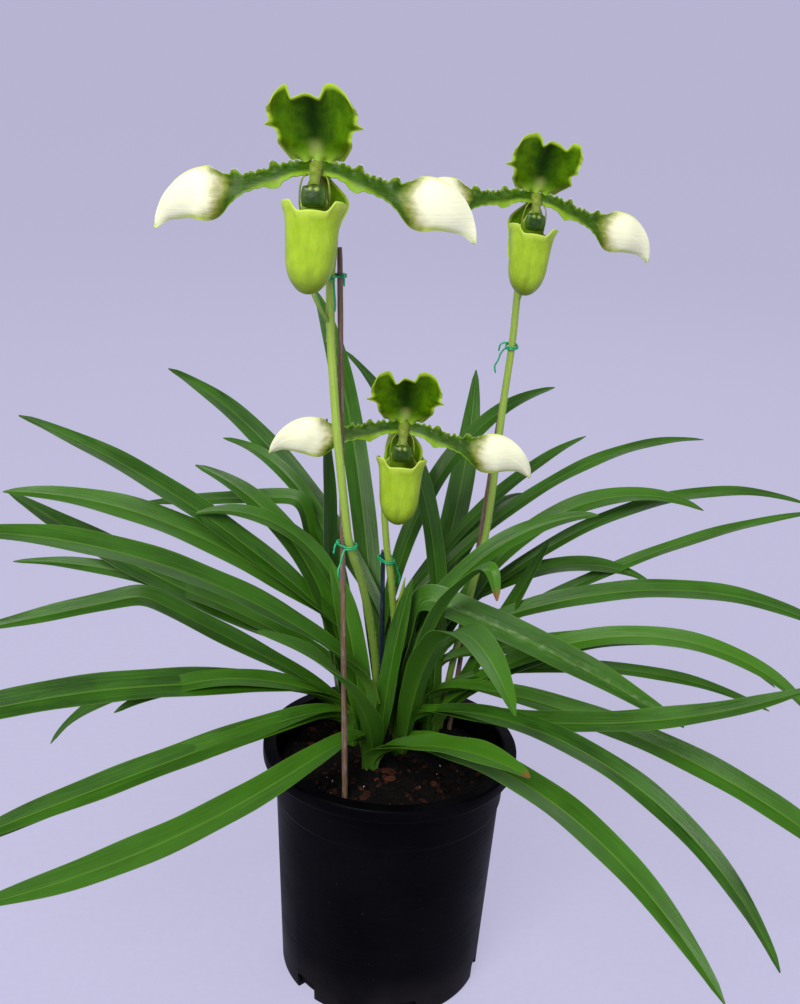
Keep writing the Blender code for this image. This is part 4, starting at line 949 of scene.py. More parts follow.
for number, (_, radius) in SCAPES.items():
    line = scape_line(number, STEM_ROWS)
    run = run_along(line)
    left = run[-1] - run
    swell = 1.0 + OVARY_SWELL * np.sin(unit(left / OVARY_LENGTH) * math.pi)
    angle = around(STEM_SIDES)
    ridge = 1.0 + OVARY_RIDGE * unit(1.3 - left[:, None] / OVARY_LENGTH) * np.cos(6.0 * angle)[None, :]
    stem = round_tube(line, 1.0, STEM_SIDES)
    _, first, second = frames_along(line)
    radii = radius * swell[:, None] * ridge
    rings = ring_points(line, radii, angle, first, second)
    grain, where = (v[:-2].reshape(STEM_ROWS, STEM_SIDES, 3) for v in (stem.grain, stem.place))
    stem = tube(rings, grain * [radius, radius, 1.0], where)
    piece(f"flower_stem_{number}", [stem, bract_patch(line, radius, *BRACTS[number])], scape_green,
          f"scape_{number}", 50.0)
    draw = np.random.default_rng(60 + number)
    above = np.argmax(line[:, 2] > SOIL + 12.0)
    row = draw.integers(above, STEM_ROWS - 1, STEM_HAIRS)
    column = draw.integers(0, STEM_SIDES, STEM_HAIRS)
    out = rings[row, column] - line[row]
    out = normed(out)
    lean = draw.normal(0.0, 0.35, (STEM_HAIRS, 3))
    step = rings[row + 1, column] - rings[row, column]
    roots = rings[row, column] + step * draw.uniform(0.0, 1.0, (STEM_HAIRS, 1))
    hairs = spikes(roots - out * 0.05, out + lean, draw.uniform(0.4, 0.95, STEM_HAIRS), 0.045)
    piece(f"stem_down_{number}", [hairs],
          pale_down, None)

# %% [markdown]
# ## Stakes and ties
# Two thin brown canes and a dark one hold the scapes up. A cane is a slightly crooked tube with
# streaks along it. Each tie is a coated wire that goes round stake and stem twice and ends in a
# loose tail; a single smooth path with a round section says that better than a ring would.

# %% Cane and wire finishes
def cane_finish(name, pale, dark, streak, rough):
    """Fine lengthwise streaks of three colours over a worn skin."""
    f = Finish(name, rough)
    grain = f.read("grain")
    fibre = f.noise(f.stretch(grain, (2.2, 2.2, 0.06)), 1.0, 4.0, 0.7)
    wear = f.noise(f.stretch(grain, (0.7, 0.7, 0.12)), 1.0, 3.0, 0.6)
    brown = f.tones(fibre, 0.35, 0.65, dark, pale)
    brown = f.coat(brown, wear, 0.48, 0.68, streak, 0.7)
    worn = f.between(wear, 0.3, 0.7, rough - 0.1, rough + 0.15)
    return f.done(brown, worn, f.bump(fibre, 0.0005, 0.6))


brown_cane = cane_finish("brown_cane", (122, 96, 66), (66, 48, 34), (126, 110, 112), 0.6)
dark_cane = cane_finish("dark_cane", (24, 44, 66), (8, 18, 30), (50, 72, 92), 0.45)


def wire_finish():
    """Soft plastic coat, teal-green, with faint moulding waves along the wire."""
    f = Finish("coated_wire", 0.32, Specular_IOR_Level=0.55)
    grain = f.read("grain")
    tone = f.noise(grain, 0.9, 2.0)
    waves = f.noise(f.stretch(grain, (0.2, 0.2, 2.4)), 1.0, 2.0)
    teal = f.tones(tone, 0.3, 0.7, (0, 134, 78), (12, 176, 112))
    return f.done(teal, None, f.bump(waves, 0.0003, 0.5))


coated_wire = wire_finish()

# %% Stakes
STAKES = {
    "stake_1": ((-21.0, -33.5), (-32.0, -31.0, 383.0), 1.4, "brown_stake", brown_cane),
    "stake_2": ((32.0, 36.5), (52.0, 60.6, 335.0), 1.4, "brown_stake", brown_cane),
    "stake_3": ((-5.0, 24.0), (-8.5, 23.0, 226.0), 1.3, "dark_stake", dark_cane),
}
for name, (foot, top, radius, slot_name, finish) in STAKES.items():
    knots = np.array([(*foot, SOIL - 11.7), (*foot, SOIL + 2.0), top])
    share = np.concatenate([even(4)[:-1], np.linspace(1.0, 2.0, 60)])
    path = np.stack([np.interp(share, [0, 1, 2], knots[:, k]) for k in range(3)], axis=1)
    draw = np.random.default_rng(len(name) + int(foot[0]) + 40)
    wobble = 1.0 + 0.035 * np.sin(path[:, 2] / 7.0) + draw.normal(0.0, 0.012, len(path))
    radii = radius * wobble * np.where(share > 1.0, 1.0 - 0.15 * (share - 1.0), 1.0)
    radii[-1] *= 0.8
    piece(name + "_cane", [round_tube(path, radii, 16)], finish, name, 50.0)

# %% Ties
TIES = {
    "tie_1_upper": ("stake_1", 1, 371.0, 1.0), "tie_1_lower": ("stake_1", 1, 250.0, -1.0),
    "tie_2": ("stake_2", 2, 327.0, -1.0), "tie_3": ("stake_3", 3, 222.0, 1.0),
}
WIRE = 0.9
WIRE_ROWS = 260
WIRE_REACH = 0.75 + WIRE / 2.0  # from a stem's skin to the middle of the wire


def at_height(points, height):
    """Point of a rising line at a height."""
    return np.array([np.interp(height, points[:, 2], points[:, k]) for k in range(2)] + [height])


def tie_path(stake, number, height, side):
    """Tail, two turns of a stadium about both stems, and a short second end."""
    foot, top, stake_radius = STAKES[stake][:3]
    line = scape_line(number, 200)
    line = line[: int(np.argmax(line[:, 2])) + 1]
    cane = np.array([(*foot, SOIL + 2.0), top])
    knot = at_height(line, height)
    along = knot - at_height(cane, height)
    along /= np.linalg.norm(along)
    across = np.array([along[1], -along[0], 0.0]) * side
    bend = np.linspace(-math.pi / 2.0, math.pi / 2.0, 9)[:, None]
    turns = []
    for half_turn in range(4):
        stem, radius, way = ((line, SCAPES[number][1], 1.0), (cane, stake_radius, -1.0))[half_turn % 2]
        rise = (half_turn + even(9)[:, None]) / 4.0 * 2.0 * WIRE - WIRE
        arc = way * (radius + WIRE_REACH) * (np.cos(bend) * along + np.sin(bend) * across)
        turns.append(at_height(stem, height) + arc + rise * np.array([0.0, 0.0, 1.0]))
    turns = np.concatenate(turns)
    start, out, down = turns[0], -across, np.array([0.0, 0.0, -1.0])
    tail = [start + out * aside + down * below for aside, below in
            ((4.2, 13.0), (4.8, 9.5), (3.2, 6.0), (2.4, 3.0), (0.9, 0.7))]
    end = turns[-1]
    stub = [end + out * 1.2 - along * 0.4, end + out * 3.0 + down * 1.2, end + out * 3.6 + down * 4.4]
    return np.concatenate([tail, turns, stub])


for name, tie in TIES.items():
    path = smooth(tie_path(*tie), even(WIRE_ROWS))
    radii = np.full(WIRE_ROWS, WIRE / 2.0)
    radii[[0, -1]] *= 0.5
    wire = round_tube(path, radii, 10, (0.3, 0.2, 0.93))
    piece(name + "_wire", [wire], coated_wire, name, 70.0)

# %% [markdown]
# ## Finishes of the bloom
# The hood (dorsal sepal) is deep glossy green with a yellow-green margin, and a nearly black streak
# up its middle is painted shade of its central fold. The petals have green, warty arms that turn to
# creamy white blades, with greyish streaks where the two meet. The pouch is a clear lime green. Each
# finish reads how far a point is from its margin, so the margins stay thin and even whatever the
# outline does.

# %% Sepal finish
def sepal_finish():
    """Green with net veins and a yellow-green margin, and painted shade of the central fold as a dark
    middle streak where tint x is 0.
    """
    f = Finish("sepal_green", 0.5, Specular_IOR_Level=0.07, Subsurface_Weight=0.05)
    place_at, grain, tint = f.read("place"), f.read("grain"), f.read("tint")
    u, v, edge = f.axis(place_at, "X"), f.axis(place_at, "Y"), f.axis(grain, "Z")
    cloud = f.noise(grain, 0.16, 3.0)
    veins = f.noise(f.stretch(grain, (1.5, 0.16, 0.0)), 1.0, 3.0, 0.6)
    wobble = f.plus(f.size(u), f.times(cloud, 0.28))
    green = f.tones(cloud, 0.3, 0.7, (46, 90, 0), (68, 118, 0))
    green = f.coat(green, veins, 0.42, 0.68, (36, 76, 0), 0.3)
    # painted shade: the shadow of the hood's central fold, painted as a nearly black streak up its
    # middle
    streak = f.times(f.between(wobble, 0.92, 0.12), f.between(v, 0.06, 0.34))
    streak = f.times(streak, f.less(1.0, f.axis(tint, "X")))
    green = f.mix(streak, green, paint(13, 38, 0))
    root = f.times(f.between(f.size(u), 0.3, 0.04), f.between(v, 0.34, 0.12))
    green = f.mix(f.times(root, 0.7), green, paint(128, 142, 74))
    hem = f.between(f.plus(edge, f.times(cloud, -1.0)), 1.5, -0.5)
    green = f.mix(hem, green, paint(166, 198, 52))
    hem_low = f.times(f.between(v, 0.17, 0.0), f.between(f.axis(tint, "X"), 1.0, 0.0))
    green = f.mix(f.times(hem_low, 0.75), green, paint(122, 156, 44))
    green = f.coat(green, f.axis(place_at, "Z"), 0.2, -0.2, (104, 144, 44), 0.6)
    bump = f.bump(veins, 0.0005, 0.5)
    return f.done(green, f.between(veins, 0.3, 0.7, 0.36, 0.5), bump)


sepal_green = sepal_finish()


# %% Petal finish
def petal_finish():
    """Green arm, white blade, greyish streaks between them and a yellow-green lower margin."""
    f = Finish("petal_skin", 0.46, Specular_IOR_Level=0.15, Subsurface_Weight=0.08)
    place_at, grain = f.read("place"), f.read("grain")
    u, v, edge = f.axis(place_at, "X"), f.axis(place_at, "Y"), f.axis(grain, "Z")
    streaks = f.noise(f.stretch(grain, (0.07, 1.1, 0.0)), 1.0, 3.0, 0.65)
    cloud = f.noise(grain, 0.2, 3.0)
    arm = f.tones(cloud, 0.3, 0.7, (28, 58, 0), (46, 84, 0))
    arm = f.coat(arm, streaks, 0.45, 0.7, (22, 46, 0), 0.5)
    low = f.times(f.between(u, -0.2, -0.8), f.between(v, 0.4, 0.18))
    arm = f.mix(low, arm, paint(112, 148, 24))
    arm = f.coat(arm, edge, 0.8, 0.0, (112, 152, 24), 0.7)
    reach = f.size(f.axis(grain, "X"))
    ragged = f.plus(reach, f.times(f.less(streaks, 0.5), 3.0))
    ragged = f.plus(ragged, f.times(f.less(cloud, 0.5), 5.0))
    ragged = f.plus(ragged, f.between(u, -1.0, 0.0, -4.0, 0.5))
    ragged = f.less(ragged, f.between(u, 0.55, 1.0, 0.0, 3.5))
    blade = f.mix(f.between(streaks, 0.3, 0.75, 0.0, 0.3), paint(230, 230, 192), paint(208, 212, 162))
    dusk = f.tones(cloud, 0.3, 0.7, (170, 170, 122), (184, 176, 140))
    blade = f.mix(f.between(ragged, 45.0, 37.5), blade, dusk)
    lower = f.times(f.between(edge, 3.4, 0.2), f.between(u, 0.0, -0.5))
    lower = f.times(lower, f.between(v, 0.98, 0.66, 0.25, 1.0))
    blade = f.mix(lower, blade, paint(166, 190, 52))
    upper = f.times(f.between(edge, 1.2, 0.0), f.between(v, 0.78, 0.6))
    blade = f.mix(upper, blade, paint(192, 204, 96))
    blade = f.coat(blade, v, 0.94, 1.0, (190, 204, 104), 0.8)
    olive = f.tones(cloud, 0.3, 0.7, (98, 116, 36), (120, 132, 54))
    colour = f.mix(f.between(ragged, 41.0, 35.5), blade, olive)
    colour = f.mix(f.between(ragged, 37.5, 32.0), colour, arm)
    bump = f.bump(streaks, 0.0004, 0.4)
    return f.done(colour, f.between(cloud, 0.3, 0.7, 0.36, 0.5), bump)


petal_skin = petal_finish()


# %% Pouch and column finishes
def pouch_finish():
    """Lime green with net veins, darker inside; painted shade darkens the toe, over some deeper green of
    its own, and the crease down the front.
    """
    f = Finish("pouch_lime", 0.34, Specular_IOR_Level=0.25, Subsurface_Weight=0.1)
    place_at, grain = f.read("place"), f.read("grain")
    depth = f.axis(place_at, "Y")
    net = f.noise(f.stretch(grain, (0.9, 0.9, 0.24)), 1.0, 4.0, 0.65)
    cloud = f.noise(grain, 0.12, 3.0)
    lime = f.tones(cloud, 0.3, 0.7, (142, 168, 30), (160, 186, 42))
    lime = f.coat(lime, net, 0.42, 0.68, (116, 144, 24), 0.3)
    # painted shade, over some of the toe's own deeper green: darker towards the toe, which turns away
    # from the light
    lime = f.coat(lime, depth, 0.62, 1.0, (104, 124, 28), 0.75)
    lime = f.coat(lime, depth, 0.1, 0.0, (196, 216, 84), 0.5)
    # painted shade: a darker soft band in the crease down the lower front
    front_crease_shade = f.between(f.size(f.axis(grain, "X")), 2.6, 0.0)
    front_crease_shade = f.times(front_crease_shade, f.between(depth, 0.4, 0.75))
    lime = f.mix(f.times(front_crease_shade, 0.45), lime, paint(112, 130, 24))
    lime = f.coat(lime, f.axis(place_at, "Z"), 0.2, -0.2, (84, 122, 16), 0.8)
    bump = f.bump(net, 0.0005, 0.45)
    return f.done(lime, f.between(net, 0.3, 0.7, 0.26, 0.38), bump)


def column_finish():
    """Dark glossy shield with two pale spots at its top, olive column behind."""
    f = Finish("column_green", 0.3, Specular_IOR_Level=0.3)
    at = f.read("grain")
    x, y, z = (f.axis(at, letter) for letter in "XYZ")
    cloud = f.noise(at, 0.5, 3.0)
    green = f.tones(cloud, 0.3, 0.7, (22, 46, 0), (36, 66, 0))
    aside = f.less(f.size(x), 1.3)
    above = f.plus(y, 0.6)
    squares = f.plus(f.times(aside, aside), f.times(above, above))
    away = f.calc("SQRT", squares)
    green = f.coat(green, f.size(x), 2.4, 4.8, (64, 98, 4), 0.7)
    green = f.coat(green, y, -6.4, -8.2, (96, 128, 20), 0.6)
    green = f.coat(green, away, 1.3, 0.2, (150, 168, 70), 0.6)
    olive = f.tones(cloud, 0.3, 0.7, (96, 116, 26), (124, 138, 54))
    green = f.mix(f.between(z, 8.2, 6.6), green, olive)
    green = f.mix(f.between(y, 0.1, 1.3, 0.0, 0.85), green, olive)
    return f.done(green, f.between(z, 6.0, 10.0, 0.5, 0.36), f.bump(cloud, 0.0004, 0.4))


pouch_lime = pouch_finish()
column_green = column_finish()

# %% [markdown]
# ## Sepals and petals
# All flat parts of the bloom are sheets bent in space. A table of half widths gives the outline,
# the running sum of a lean angle gives the hood's forward curve, and waves that grow with the
# distance from the middle ruffle the margins. Sculpting could do the same by hand, but each of
# the three blooms would then be a job of its own.

# %% Sheets of the bloom
def curved(value, knots):
    """Height between (place, height) knots: a cubic that is level at each peak and dip."""
    places, heights = np.array(knots, dtype=float).T
    rise = np.diff(heights) / np.diff(places)
    both = rise[:-1] * rise[1:] > 0.0
    slopes = np.where(both, 2.0 * rise[:-1] * rise[1:] / np.where(both, rise[:-1] + rise[1:], 1.0), 0.0)
    slopes = np.concatenate([rise[:1], slopes, rise[-1:]])
    index = np.clip(np.searchsorted(places, value) - 1, 0, len(places) - 2)
    width = places[index + 1] - places[index]
    t = unit((value - places[index]) / width)
    return (heights[index] * (1 + 2 * t) * (1 - t) ** 2 + heights[index + 1] * t * t * (3 - 2 * t)
            + width * (slopes[index] * t * (1 - t) ** 2 - slopes[index + 1] * t * t * (1 - t)))


def bloom_sheet(flower, grid, edge, middle, rim, share):
    """Sheet of a bloom: rim thick at the margin and middle thick inside, its front towards z."""
    normal = np.cross(np.gradient(grid, axis=1), np.gradient(grid, axis=0))
    normal = normed(normal)
    where = triples(*share, 1.0)
    grain = triples(grid[:, :, 0], grid[:, :, 1], edge)
    if normal[:, :, 2].mean() < 0.0:
        grid, edge, normal, where, grain = (v[:, ::-1] for v in (grid, edge, -normal, where, grain))
    thick = (rim + (middle - rim) * unit(edge / 2.5))[:, :, None] * normal * 0.5
    return sheet(place(flower, grid + thick), place(flower, grid - thick), grain, where)


# %% Hood
DORSAL_LENGTH = 27.3
DORSAL_LEAN = (6.0, 28.0)      # degrees forward at the foot, and added by the top
DORSAL_BASE = (9.7, -0.5)      # y and z of its foot, just above the column
DORSAL_HALF = (10.4, 13.2, 14.3, 14.3, 15.2, 16.6, 17.3, 17.4, 16.9, 15.6)
CUP = 4.5
BASE_ROLL = 4.2
MARGIN_WAVE = 0.5
HEM_DROP = 1.0                 # how far the rolled lower margin hangs
CROWN_FROM = 0.6
# each hood's top edge as (u, height), its spurs left and right, its lean aside, and how much
# wider its lower corners are, left and right
CROWNS = {
    1: ([(-1, -3.0), (-0.88, 0.6), (-0.62, 3.0), (-0.48, -2.2), (-0.14, -0.7), (0.18, -2.2),
         (0.34, 3.0), (0.5, 3.6), (0.8, 1.6), (1, -2.2)], (3.6, 4.2), -0.08, (0.6, 0.0)),
    2: ([(-1, 1.0), (-0.88, 3.8), (-0.5, 5.0), (-0.32, 2.6), (-0.2, -0.9), (0.02, 1.4),
         (0.28, 0.8), (0.52, -1.0), (0.7, 3.0), (0.9, 3.6), (1, 1.0)], (4.8, 1.6), 0.01, (0.0, 2.4)),
    3: ([(-1, 0.4), (-0.88, 3.4), (-0.6, 4.2), (-0.46, 1.0), (-0.33, -2.8), (-0.08, 0.0),
         (0.22, -1.0), (0.35, 3.3), (0.58, 4.6), (0.86, 3.4), (1, -0.6)], (4.6, 3.6), 0.0, (-0.6, 0.0)),
}


def hood_patch(number, flower):
    """x = half(v) u + aside, y and z from the running lean, margins cupped, rolled and ruffled."""
    crown, spurs, aside, low = CROWNS[number]
    v, u = even(70)[:, None], np.linspace(-1.0, 1.0, 81)[None, :]
    half = smooth(DORSAL_HALF, v[:, 0]) + np.where(u < 0.0, low[0], low[1]) * hump(v, 0.2, 0.13)
    spur = np.where(u < 0.0, spurs[0], spurs[1]) * hump(v, 0.51, 0.048) * np.abs(u) ** 8 * 0.75
    fine = even(201)
    lean = np.radians(DORSAL_LEAN[0] + DORSAL_LEAN[1] * fine)
    height = np.interp(v, fine, np.cumsum(np.cos(lean)) * DORSAL_LENGTH / len(fine))
    forward = np.interp(v, fine, np.cumsum(np.sin(lean)) * DORSAL_LENGTH / len(fine))
    lean = np.radians(DORSAL_LEAN[0] + DORSAL_LEAN[1] * v)
    crest = curved(u, crown) * unit((v - CROWN_FROM) / (1.0 - CROWN_FROM)) ** 1.5
    wave = MARGIN_WAVE * u ** 4 * np.cos(2.0 * math.pi * 3.1 * v + 0.8 + 0.4 * number) * unit(v * 5.0)
    ruffle = 0.15 * np.abs(u) ** 7 * np.sin(2.0 * math.pi * 7.3 * v + 2.0 * number)
    hem = 0.9 * np.sin(u * 13.0 + number) * unit(1.0 - v / 0.08) ** 1.5 * (1.0 - u ** 4)
    bulge = (CUP * v * (2.0 - 1.1 * v) - BASE_ROLL * hump(v, 0.0, 0.24)) * u ** 2 + wave + ruffle
    bulge = bulge - 0.9 * hump(u, 0.0, 0.14) * np.sin(v * math.pi)
    fringe = 0.12 * np.abs(u) ** 9 * np.sin(2.0 * math.pi * 5.7 * v + number)
    x = half * u + np.sign(u) * (spur + fringe) + aside * height
    drop = HEM_DROP * unit(1.0 - v / 0.16) * (1.0 - hump(u, 0.0, 0.18))
    y = DORSAL_BASE[0] + height + crest - bulge * np.sin(lean) - hem * 0.6 - drop
    z = DORSAL_BASE[1] + forward + bulge * np.cos(lean) + hem
    grid = triples(x, y, z)
    edge = np.minimum(half * (1.0 - np.abs(u)), DORSAL_LENGTH * np.minimum(1.0 - v, v + 0.04))
    return bloom_sheet(flower, grid, edge, 0.8, 0.35, (u, v))


# %% Synsepal
SYNSEPAL_LINE = ((0, 3.4, -1.4), (0, -6, -2.5), (0, -15, -3.5), (0, -24, -4), (0, -31, -4.5),
                 (0, -36, -5))
SYNSEPAL_HALF = (3.4, 9.4, 9.0, 7.8, 5.4, 0.9)
SYNSEPAL_ASIDE = {1: 3.4, 2: -1.5, 3: 1.0}


def synsepal_patch(number, flower):
    """The two lower sepals grown together: a boat that hides behind the pouch."""
    at, u = even(48), np.linspace(-1.0, 1.0, 33)[None, :]
    line, half = smooth(SYNSEPAL_LINE, at), smooth(SYNSEPAL_HALF, at)
    wave = 0.8 * u ** 4 * np.sin(at[:, None] * 16.0 + number)
    x = half * u + SYNSEPAL_ASIDE[number] * hump(at[:, None], 0.2, 0.2)
    z = line[:, 2:3] - 1.6 * u ** 2 + wave
    edge = np.minimum(half * (1.0 - np.abs(u)), 40.0 * (1.0 - at[:, None]))
    grid = triples(x, line[:, 1:2], z)
    return bloom_sheet(flower, grid, edge, 0.8, 0.35, (u, at[:, None]))._replace(tint=(1.0, 0.0, 0.0))


# %% Petals
PETAL_LINE = ((1.8, 6.8, 0.0), (9, 5.6, 2.5), (17, 2.8, 4), (25, 0.2, 5), (33, -2.4, 6), (40, -5.2, 7.2),
              (48, -5.0, 7), (55.5, -8.2, 5), (61, -13.6, 2), (64.4, -19.9, -0.5))
# half widths above and below the line, two for each step of it
PETAL_UPPER = (2.8, 2.6, 2.6, 2.8, 2.8, 2.7, 3.0, 3.5, 5.0, 9.0,
               10.7, 10.8, 9.9, 8.4, 6.6, 4.9, 3.2, 1.9, 0.4)
PETAL_LOWER = (2.8, 2.8, 2.6, 2.8, 2.7, 2.7, 2.8, 3.2, 4.6, 6.4,
               9.2, 10.2, 10.1, 9.2, 8.1, 6.6, 4.2, 2.4, 0.4)
# knobs of the arm's upper margin: x, height and half width
ARM_KNOBS = ((7.0, 0.8, 0.8), (9.6, 1.0, 0.8), (12.0, 0.9, 0.7), (15.8, 2.7, 1.7), (19.4, 0.9, 0.8),
             (21.6, 1.3, 0.9), (24.2, 1.2, 0.9), (26.4, 0.8, 0.7), (30.0, 2.7, 1.8), (33.4, 0.5, 0.8))
ARM_END = 34.0
PETAL_ROWS = 150
PETAL_COLUMNS = 33
PETAL_SWING = {1: (0.0, 0.0), 2: (-7.0, -2.0), 3: (-6.5, -4.0)}   # extra droop, left and right
PETAL_SLIM = {1: (0.26, 0.0), 2: (0.0, 0.12), 3: (0.08, 0.05)}    # share cut off the blade's outer top


def petal_grid(number, side):
    """Petal surface with its distance from the margin; the arm's upper margin is ruffled."""
    at, u = even(PETAL_ROWS), np.linspace(-1.0, 1.0, PETAL_COLUMNS)[None, :]
    line = smooth(PETAL_LINE, at)
    slim = 1.0 - PETAL_SLIM[number][0 if side < 0 else 1] * unit((line[:, :1] - 42.0) / 12.0)
    above, below = (np.maximum(smooth(widths, at), 0.3) for widths in (PETAL_UPPER, PETAL_LOWER))
    reach = np.where(u > 0.0, above * slim, below)
    tangent = np.gradient(line, axis=0)
    across = np.stack([-tangent[:, 1], tangent[:, 0]], axis=1)
    # the direction across turns gently, so that the margins don't fold where the line bends
    window = np.hanning(33) / np.hanning(33).sum()
    across = np.stack([np.convolve(np.pad(across[:, k], 16, mode="edge"), window, "valid")
                       for k in range(2)], axis=1)
    across = normed(across)
    x, shift = line[:, :1], 1.3 * number + 0.7 * side
    arm = 1.0 / (1.0 + np.exp((x - ARM_END) / 2.2))
    upper, lower = unit(u) ** 3, unit(-u) ** 2
    ruffle = sum(tall * np.exp(-np.abs((x - at_x - 0.25 * np.sin(3.0 * shift + at_x)) / wide) ** 3)
                 for at_x, tall, wide in ARM_KNOBS)
    flap = 2.2 * hump(x, 16.8, 2.8) + 0.2 * arm * np.sin(x * 1.7 + shift)
    offset = reach * u + ruffle * upper - flap * lower
    curl = 1.3 * np.sin(x * 0.9 + 1.0) + 0.7 * np.sin(x * 2.1 + shift)
    lift = (-0.75 * arm * u * reach + curl * arm * upper
            - 0.11 * (1.0 - arm) * (2.6 * u ** 2 - 1.0) * reach
            + 0.5 * (1.0 - arm) * np.sin(x * 0.35 + u * 2.0 + shift))
    grid = np.stack([x + across[:, :1] * offset, line[:, 1:2] + across[:, 1:] * offset,
                     line[:, 2:3] + lift], axis=2)
    angle = math.radians(PETAL_SWING[number][0 if side < 0 else 1])
    dx, dy = grid[:, :, 0] - HEART[0], grid[:, :, 1] - HEART[1]
    grid[:, :, 0] = side * (dx * math.cos(angle) + dy * math.sin(angle))
    grid[:, :, 1] = HEART[1] - dx * math.sin(angle) + dy * math.cos(angle)
    edge = np.minimum(reach * (1.0 - np.abs(u)), 70.0 * (1.0 - at[:, None]))
    return grid, edge, u, at[:, None]


def petal_patch(number, flower, side):
    """The petal's surface given its thickness, 0.8 mm inside and 0.4 at the margin."""
    grid, edge, u, v = petal_grid(number, side)
    return bloom_sheet(flower, grid, edge, 0.8, 0.4, (u, v))


# %% [markdown]
# ## Pouch and column
# The lip of the flower is blown up into a pouch with two ears beside its mouth. It is a closed
# skin: rings from the toe up the outside, over a rolled rim and down the inside. The column ends
# in the staminode, a squarish glossy shield over the mouth, with two pale spots on top.

# %% Pouch
POUCH_TOE = -41.6
POUCH_LEAN = {1: -1.3, 2: 1.4, 3: 0.4}     # how far the toe lies to the right
# share of the depth, half width, half depth, centre z
POUCH_ROWS = ((0.0, 12.9, 9.4, 9.6), (0.05, 12.2, 9.1, 9.7), (0.12, 11.3, 8.8, 9.8),
              (0.25, 10.7, 8.8, 10.0), (0.45, 10.2, 8.8, 10.6), (0.65, 9.7, 8.6, 11.0),
              (0.82, 8.0, 7.2, 11.0), (0.94, 5.0, 4.6, 10.8), (0.985, 2.6, 2.4, 10.7),
              (1.0, 0.3, 0.3, 10.7))
POUCH_WALL = 0.8
POUCH_SIDES = 112
POUCH_STEPS = 44
RIM_SIDE = -6.8                # height of the rim at the ears, below the shield's top
RIM_TONGUE = 9.5               # height of the tongue at the back that reaches the column
RIM_ROLL = 0.45


def pouch_patch(flower, lean):
    """Rings up the outside, over the rim and down the inside.

    A ring is (half cos a + lean share, rim (1 - share) + toe share, centre + depth sin a).
    """
    angle = around(POUCH_SIDES)
    front, back = unit(np.sin(angle)), unit(-np.sin(angle))
    lobe = unit((front - 0.68) / 0.25)
    rim = (RIM_SIDE + 3.0 * front - 4.6 * lobe ** 2 * (3.0 - 2.0 * lobe)
           - 5.0 * hump(back, 0.78, 0.24) * (back > 0.0) + RIM_TONGUE * back ** 12
           + 0.2 * np.sin(angle * 5.0))
    share, half, depth, middle = smooth(POUCH_ROWS, even(POUCH_STEPS)).T[:, :, None]

    def rings(inset):
        y = rim * (1.0 - share) + (POUCH_TOE + inset) * share
        crease = 0.35 * hump(np.cos(angle), 0.0, 0.12) * (np.sin(angle) > 0.0)
        crease = crease * np.sin(unit(share) * math.pi)
        return triples(np.maximum(half - inset, 0.1) * np.cos(angle) + lean * share, y,
                       middle + np.maximum(depth - inset - crease, 0.1) * np.sin(angle))

    outer, inner = rings(0.0)[::-1], rings(POUCH_WALL)
    roll = np.stack([rings(POUCH_WALL * t)[0] + [0.0, RIM_ROLL * math.sin(math.pi * t), 0.0]
                     for t in (0.15, 0.5, 0.85)])
    body = np.concatenate([outer, roll, inner])
    depth_share = np.concatenate([share[::-1, 0], [0.0, 0.0, 0.0], share[:, 0]])
    sign = np.concatenate([np.ones(POUCH_STEPS), [1.0, 1.0, 0.0], -np.ones(POUCH_STEPS)])
    where = triples(np.cos(angle), depth_share[:, None], sign[:, None])
    grain = body[:, :, [0, 2, 1]]
    return tube(place(flower, body), grain, where)


# %% Column and shield
COLUMN_PATH = ((0, 6.5, COLUMN_BACK), (0, 6.5, -1.4), (0, 6.4, 0.6), (0, 5.4, 3.6), (0, 2.6, 7.0),
               (0, 0, 9.6))
COLUMN_RADII = (1.9, 3.1, 2.9, 2.4, 2.1, 1.9)
# share of the shield's size with depth, from its back to its front
SHIELD_ROWS = ((0.05, 8.8), (0.7, 9.0), (0.95, 9.6), (1.0, 10.2), (0.97, 10.8), (0.86, 11.3),
               (0.66, 11.65), (0.4, 11.85), (0.15, 11.95), (0.02, 11.97))


def column_patches(flower):
    """Tapering column; squarish dome of the shield; two ribs beside it, all in flower millimetres."""
    path = smooth(COLUMN_PATH, even(30))
    column = round_tube(path, smooth(COLUMN_RADII, even(30)), 24)
    angle = around(48)
    square = 1.0 / np.maximum(np.abs(np.cos(angle)), np.abs(np.sin(angle))) ** 0.55
    scale, depth = smooth(SHIELD_ROWS, even(34)).T[:, :, None]
    x = 5.0 * scale * square * np.cos(angle)
    y = -3.6 + 4.4 * scale * square * np.sin(angle)
    spots = 0.25 * hump(np.abs(x), 1.3, 0.7) * hump(y, -0.6, 0.8) * (depth > 10.5)
    rings = np.stack([x, y, depth - 0.12 * y + spots], axis=2)
    shield = tube(rings, rings, rings)
    ribs = []
    for side in (-1.0, 1.0):
        line = smooth([(side * 3.4, 4.6, 3.4), (side * 5.2, 2.0, 5.6), (side * 5.9, -3.0, 6.4),
                       (side * 5.6, -8.5, 6.6), (side * 4.6, -12.0, 6.4)], even(24))
        ribs.append(round_tube(line, 0.4 * np.sin(np.linspace(0.25, 3.0, 24)) ** 0.5, 10))
    return [p._replace(points=place(flower, p.points), grain=p.points) for p in [column, shield] + ribs]


# %% Build the three blooms
for number, flower in FLOWERS.items():
    piece(f"hood_{number}", [hood_patch(number, flower)], sepal_green,
          f"dorsal_sepal_{number}", 80.0)
    piece(f"lower_sepal_{number}", [synsepal_patch(number, flower)], sepal_green,
          f"synsepal_{number}", 80.0)
    for side, word in ((-1.0, "left"), (1.0, "right")):
        piece(f"petal_{word}_{number}_skin", [petal_patch(number, flower, side)], petal_skin,
              f"petal_{word}_{number}", 80.0)
    piece(f"pouch_{number}_skin", [pouch_patch(flower, POUCH_LEAN[number])], pouch_lime,
          f"pouch_{number}")
    piece(f"column_{number}_skin", column_patches(flower), column_green, f"column_{number}")


# %% Down of the blooms
BLOOM_HAIRS = 150              # on each arm, and once more in the tuft


